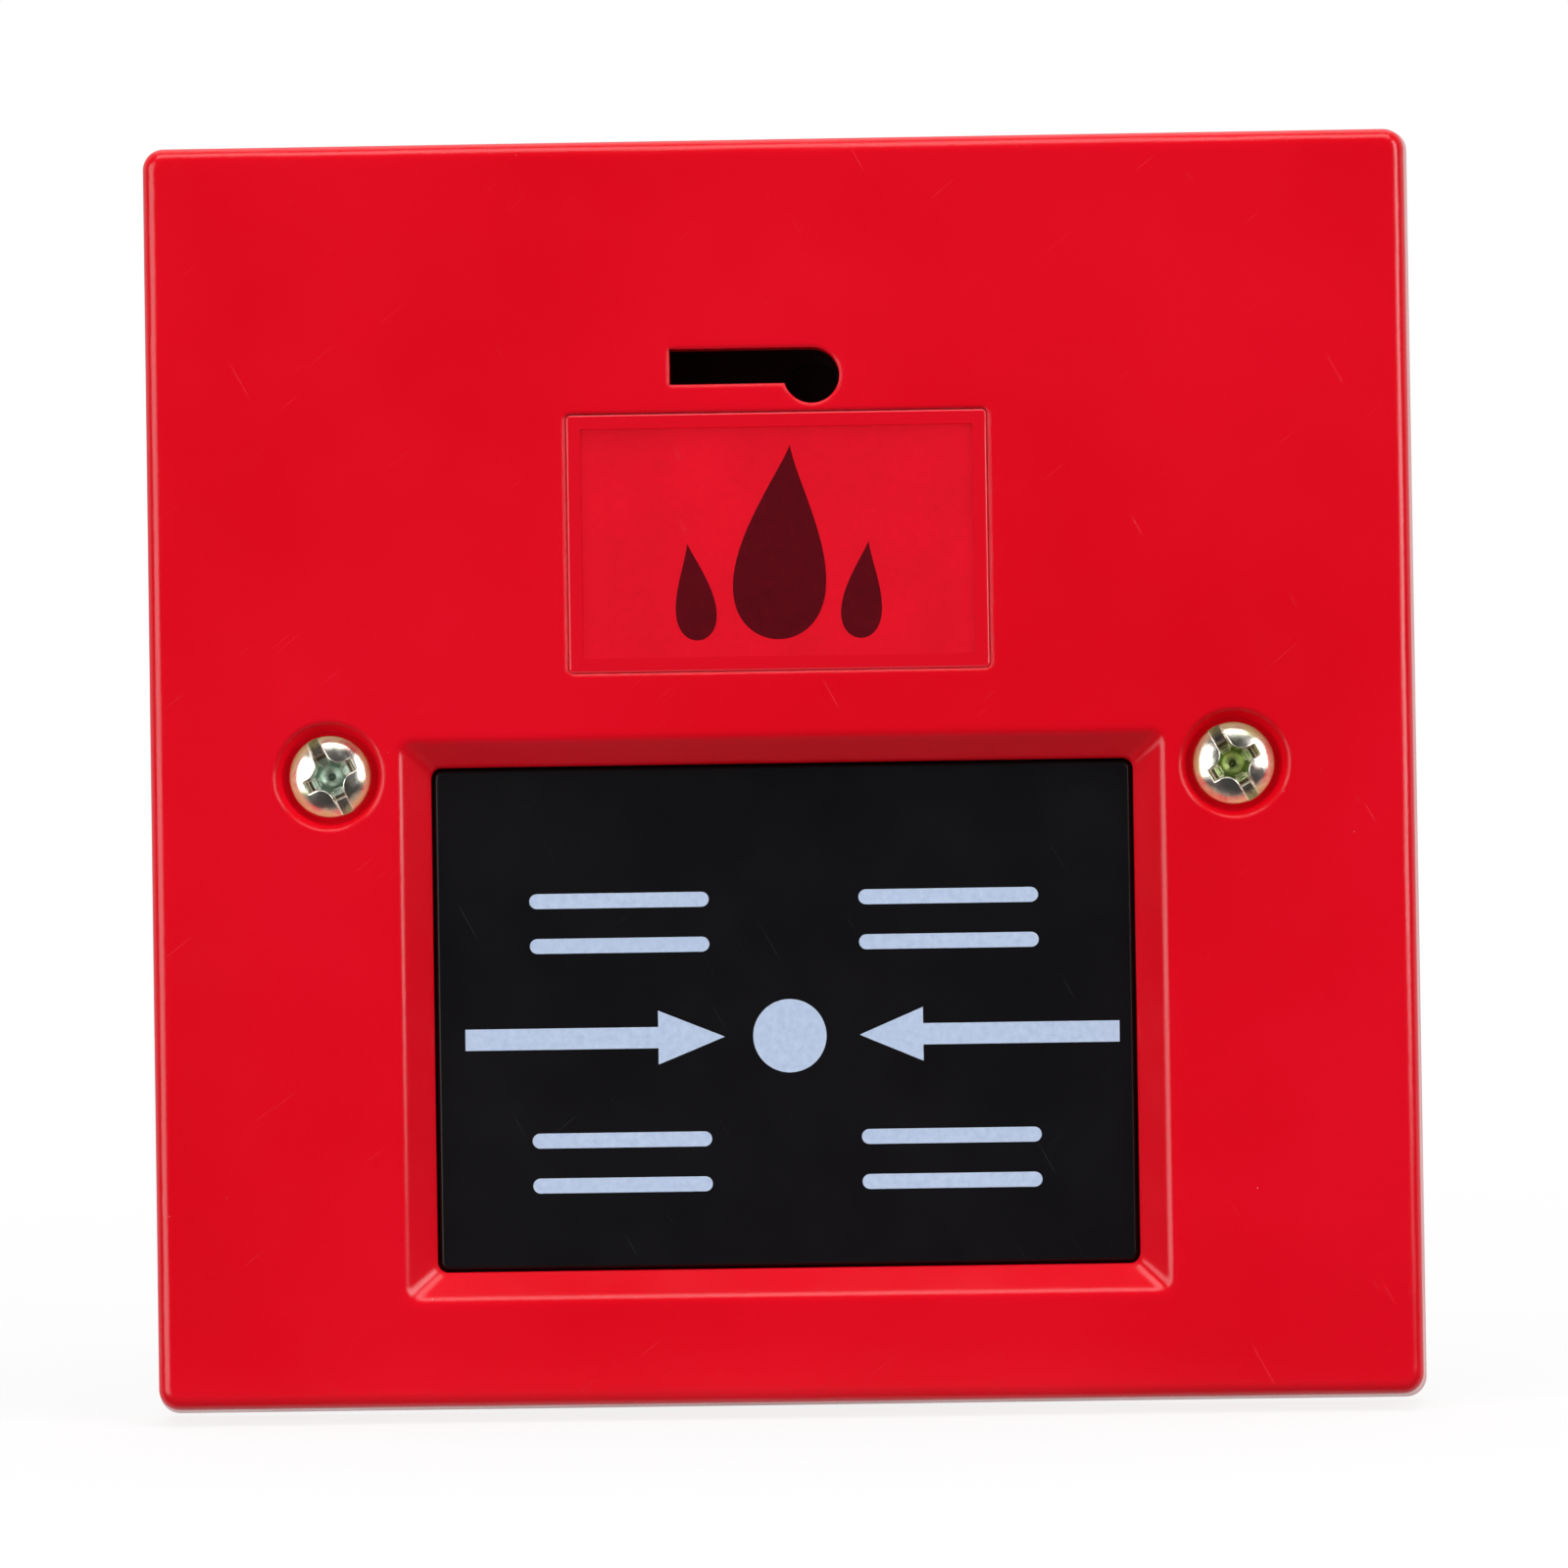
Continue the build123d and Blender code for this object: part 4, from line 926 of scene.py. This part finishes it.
red = linear(226, 10, 32)
looks = {
    "red_plastic": plastic(
        "red_plastic", red, linear(219, 6, 26), linear(250, 70, 90),
        0.18, 0.5 * mm, 0.001 * mm, dust=0.8, shine=0.35, glow=0.24,
    ),
    "red_lens": see_through(
        "red_lens", (0.985, 0.60, 0.70), linear(222, 14, 34), 0.03, 0.08, (film_low, film_high)
    ),
    "film": ink("film", (0.95, 0.05, 0.09), (0.90, 0.045, 0.08), 0.5),
    "white_plastic": plastic(
        "white_plastic", (0.80, 0.80, 0.78), (0.74, 0.74, 0.72), (0.9, 0.9, 0.9),
        0.35, 0.4 * mm, 0.003 * mm,
    ),
    "black_panel": plastic(
        "black_panel", linear(13, 11, 14), linear(9, 8, 11), linear(60, 60, 64),
        0.34, 0.22 * mm, 0.003 * mm, dust=0.8, shine=0.25,
    ),
    "spring_steel": metal(
        "spring_steel", (0.60, 0.61, 0.62), (0.50, 0.50, 0.50), 0.25, 0.8, (0.4, 0.4, 0.4)
    ),
    "natural_plastic": plastic(
        "natural_plastic", (0.74, 0.71, 0.62), (0.68, 0.64, 0.54), (0.86, 0.84, 0.78),
        0.4, 0.4 * mm, 0.004 * mm,
    ),
    "black_plastic": plastic(
        "black_plastic", (0.022, 0.022, 0.024), (0.016, 0.016, 0.018), (0.10, 0.10, 0.105),
        0.45, 0.35 * mm, 0.018 * mm, dust=0.35,
    ),
    "plated_steel": metal(
        "plated_steel", (0.72, 0.73, 0.74), (0.60, 0.62, 0.66), 0.28, 0.2, (0.5, 0.5, 0.5)
    ),
    "board_green": board_green(),
    "led_red": see_through("led_red", (0.9, 0.10, 0.10), (0.6, 0.02, 0.02), 0.5, 0.06),
    "tinned_wire": metal(
        "tinned_wire", (0.76, 0.76, 0.75), (0.64, 0.64, 0.63), 0.3, 0.6, (0.55, 0.55, 0.55)
    ),
    "component_black": plastic(
        "component_black", (0.024, 0.024, 0.025), (0.018, 0.018, 0.018), (0.12, 0.12, 0.12),
        0.4, 0.2 * mm, 0.01 * mm,
    ),
    "sleeve_blue": plastic(
        "sleeve_blue", (0.02, 0.05, 0.20), (0.015, 0.04, 0.16), (0.2, 0.25, 0.4),
        0.3, 0.6 * mm, 0.01 * mm,
    ),
    "terminal_green": plastic(
        "terminal_green", (0.03, 0.30, 0.12), (0.02, 0.25, 0.10), (0.2, 0.5, 0.3),
        0.4, 0.35 * mm, 0.01 * mm,
    ),
    "brass": metal("brass", (0.80, 0.60, 0.28), (0.66, 0.46, 0.20), 0.3, 0.5, (0.5, 0.4, 0.25)),
    "plunger_red": plastic(
        "plunger_red", (0.55, 0.03, 0.02), (0.48, 0.02, 0.02), (0.8, 0.3, 0.25),
        0.35, 0.3 * mm, 0.005 * mm,
    ),
    "copper_alloy": metal(
        "copper_alloy", (0.85, 0.52, 0.33), (0.70, 0.40, 0.25), 0.28, 0.7, (0.5, 0.35, 0.25)
    ),
    "silver_contact": metal(
        "silver_contact", (0.80, 0.79, 0.76), (0.66, 0.63, 0.56), 0.26, 0.4, (0.55, 0.54, 0.5)
    ),
    "wire_sleeve": plastic(
        "wire_sleeve", (0.60, 0.03, 0.02), (0.52, 0.02, 0.02), (0.8, 0.3, 0.3),
        0.38, 0.5 * mm, 0.006 * mm,
    ),
}
looks["resistor_tan"] = banded(
    "resistor_tan",
    "resistors",
    (0.55, 0.42, 0.24),
    3.3 * mm,
    (
        (0.20, (0.25, 0.09, 0.03)),
        (0.40, (0.02, 0.02, 0.02)),
        (0.60, (0.50, 0.05, 0.02)),
        (0.82, (0.60, 0.42, 0.10)),
    ),
)
looks["yellow_zinc"] = yellow_zinc()
panel_ink = ink("print_white", linear(190, 206, 232), linear(172, 190, 218), 0.5)
legend_ink = ink("print_maroon", (0.045, 0.003, 0.008), (0.07, 0.005, 0.012), 0.5)

for subpart in frame["record"]["subparts"]:
    node = nodes[subpart["node"]]
    node.data.materials.clear()
    node.data.materials.append(looks[subpart["material_slot"]])
diode_band = ((0.80, (0.6, 0.6, 0.6)),)
diode_look = banded("diode_black", "diode", (0.02, 0.02, 0.02), 2.5 * mm, diode_band)
nodes["diode"].data.materials[0] = diode_look

# ---------------------------------------------------------------- build everything

panel_print()
legend_print()
fixing_screws()
panel_coils()
latch_coils()

world_light()
floor()
face_middle = (0.0, plate_low.y, 0.0)
softbox("left_box", (-0.55, -0.48, 0.05), face_middle, 0.45, 0.6, 4.2)
softbox("right_box", (0.57, -0.45, 0.20), face_middle, 0.3, 0.5, 7.2)
softbox("front_top_box", (0.0, -0.36, 0.68), face_middle, 0.8, 0.35, 4.0)
softbox("over_box", (0.0, 0.30, 0.8), face_middle, 0.9, 0.7, 0.7)
camera()
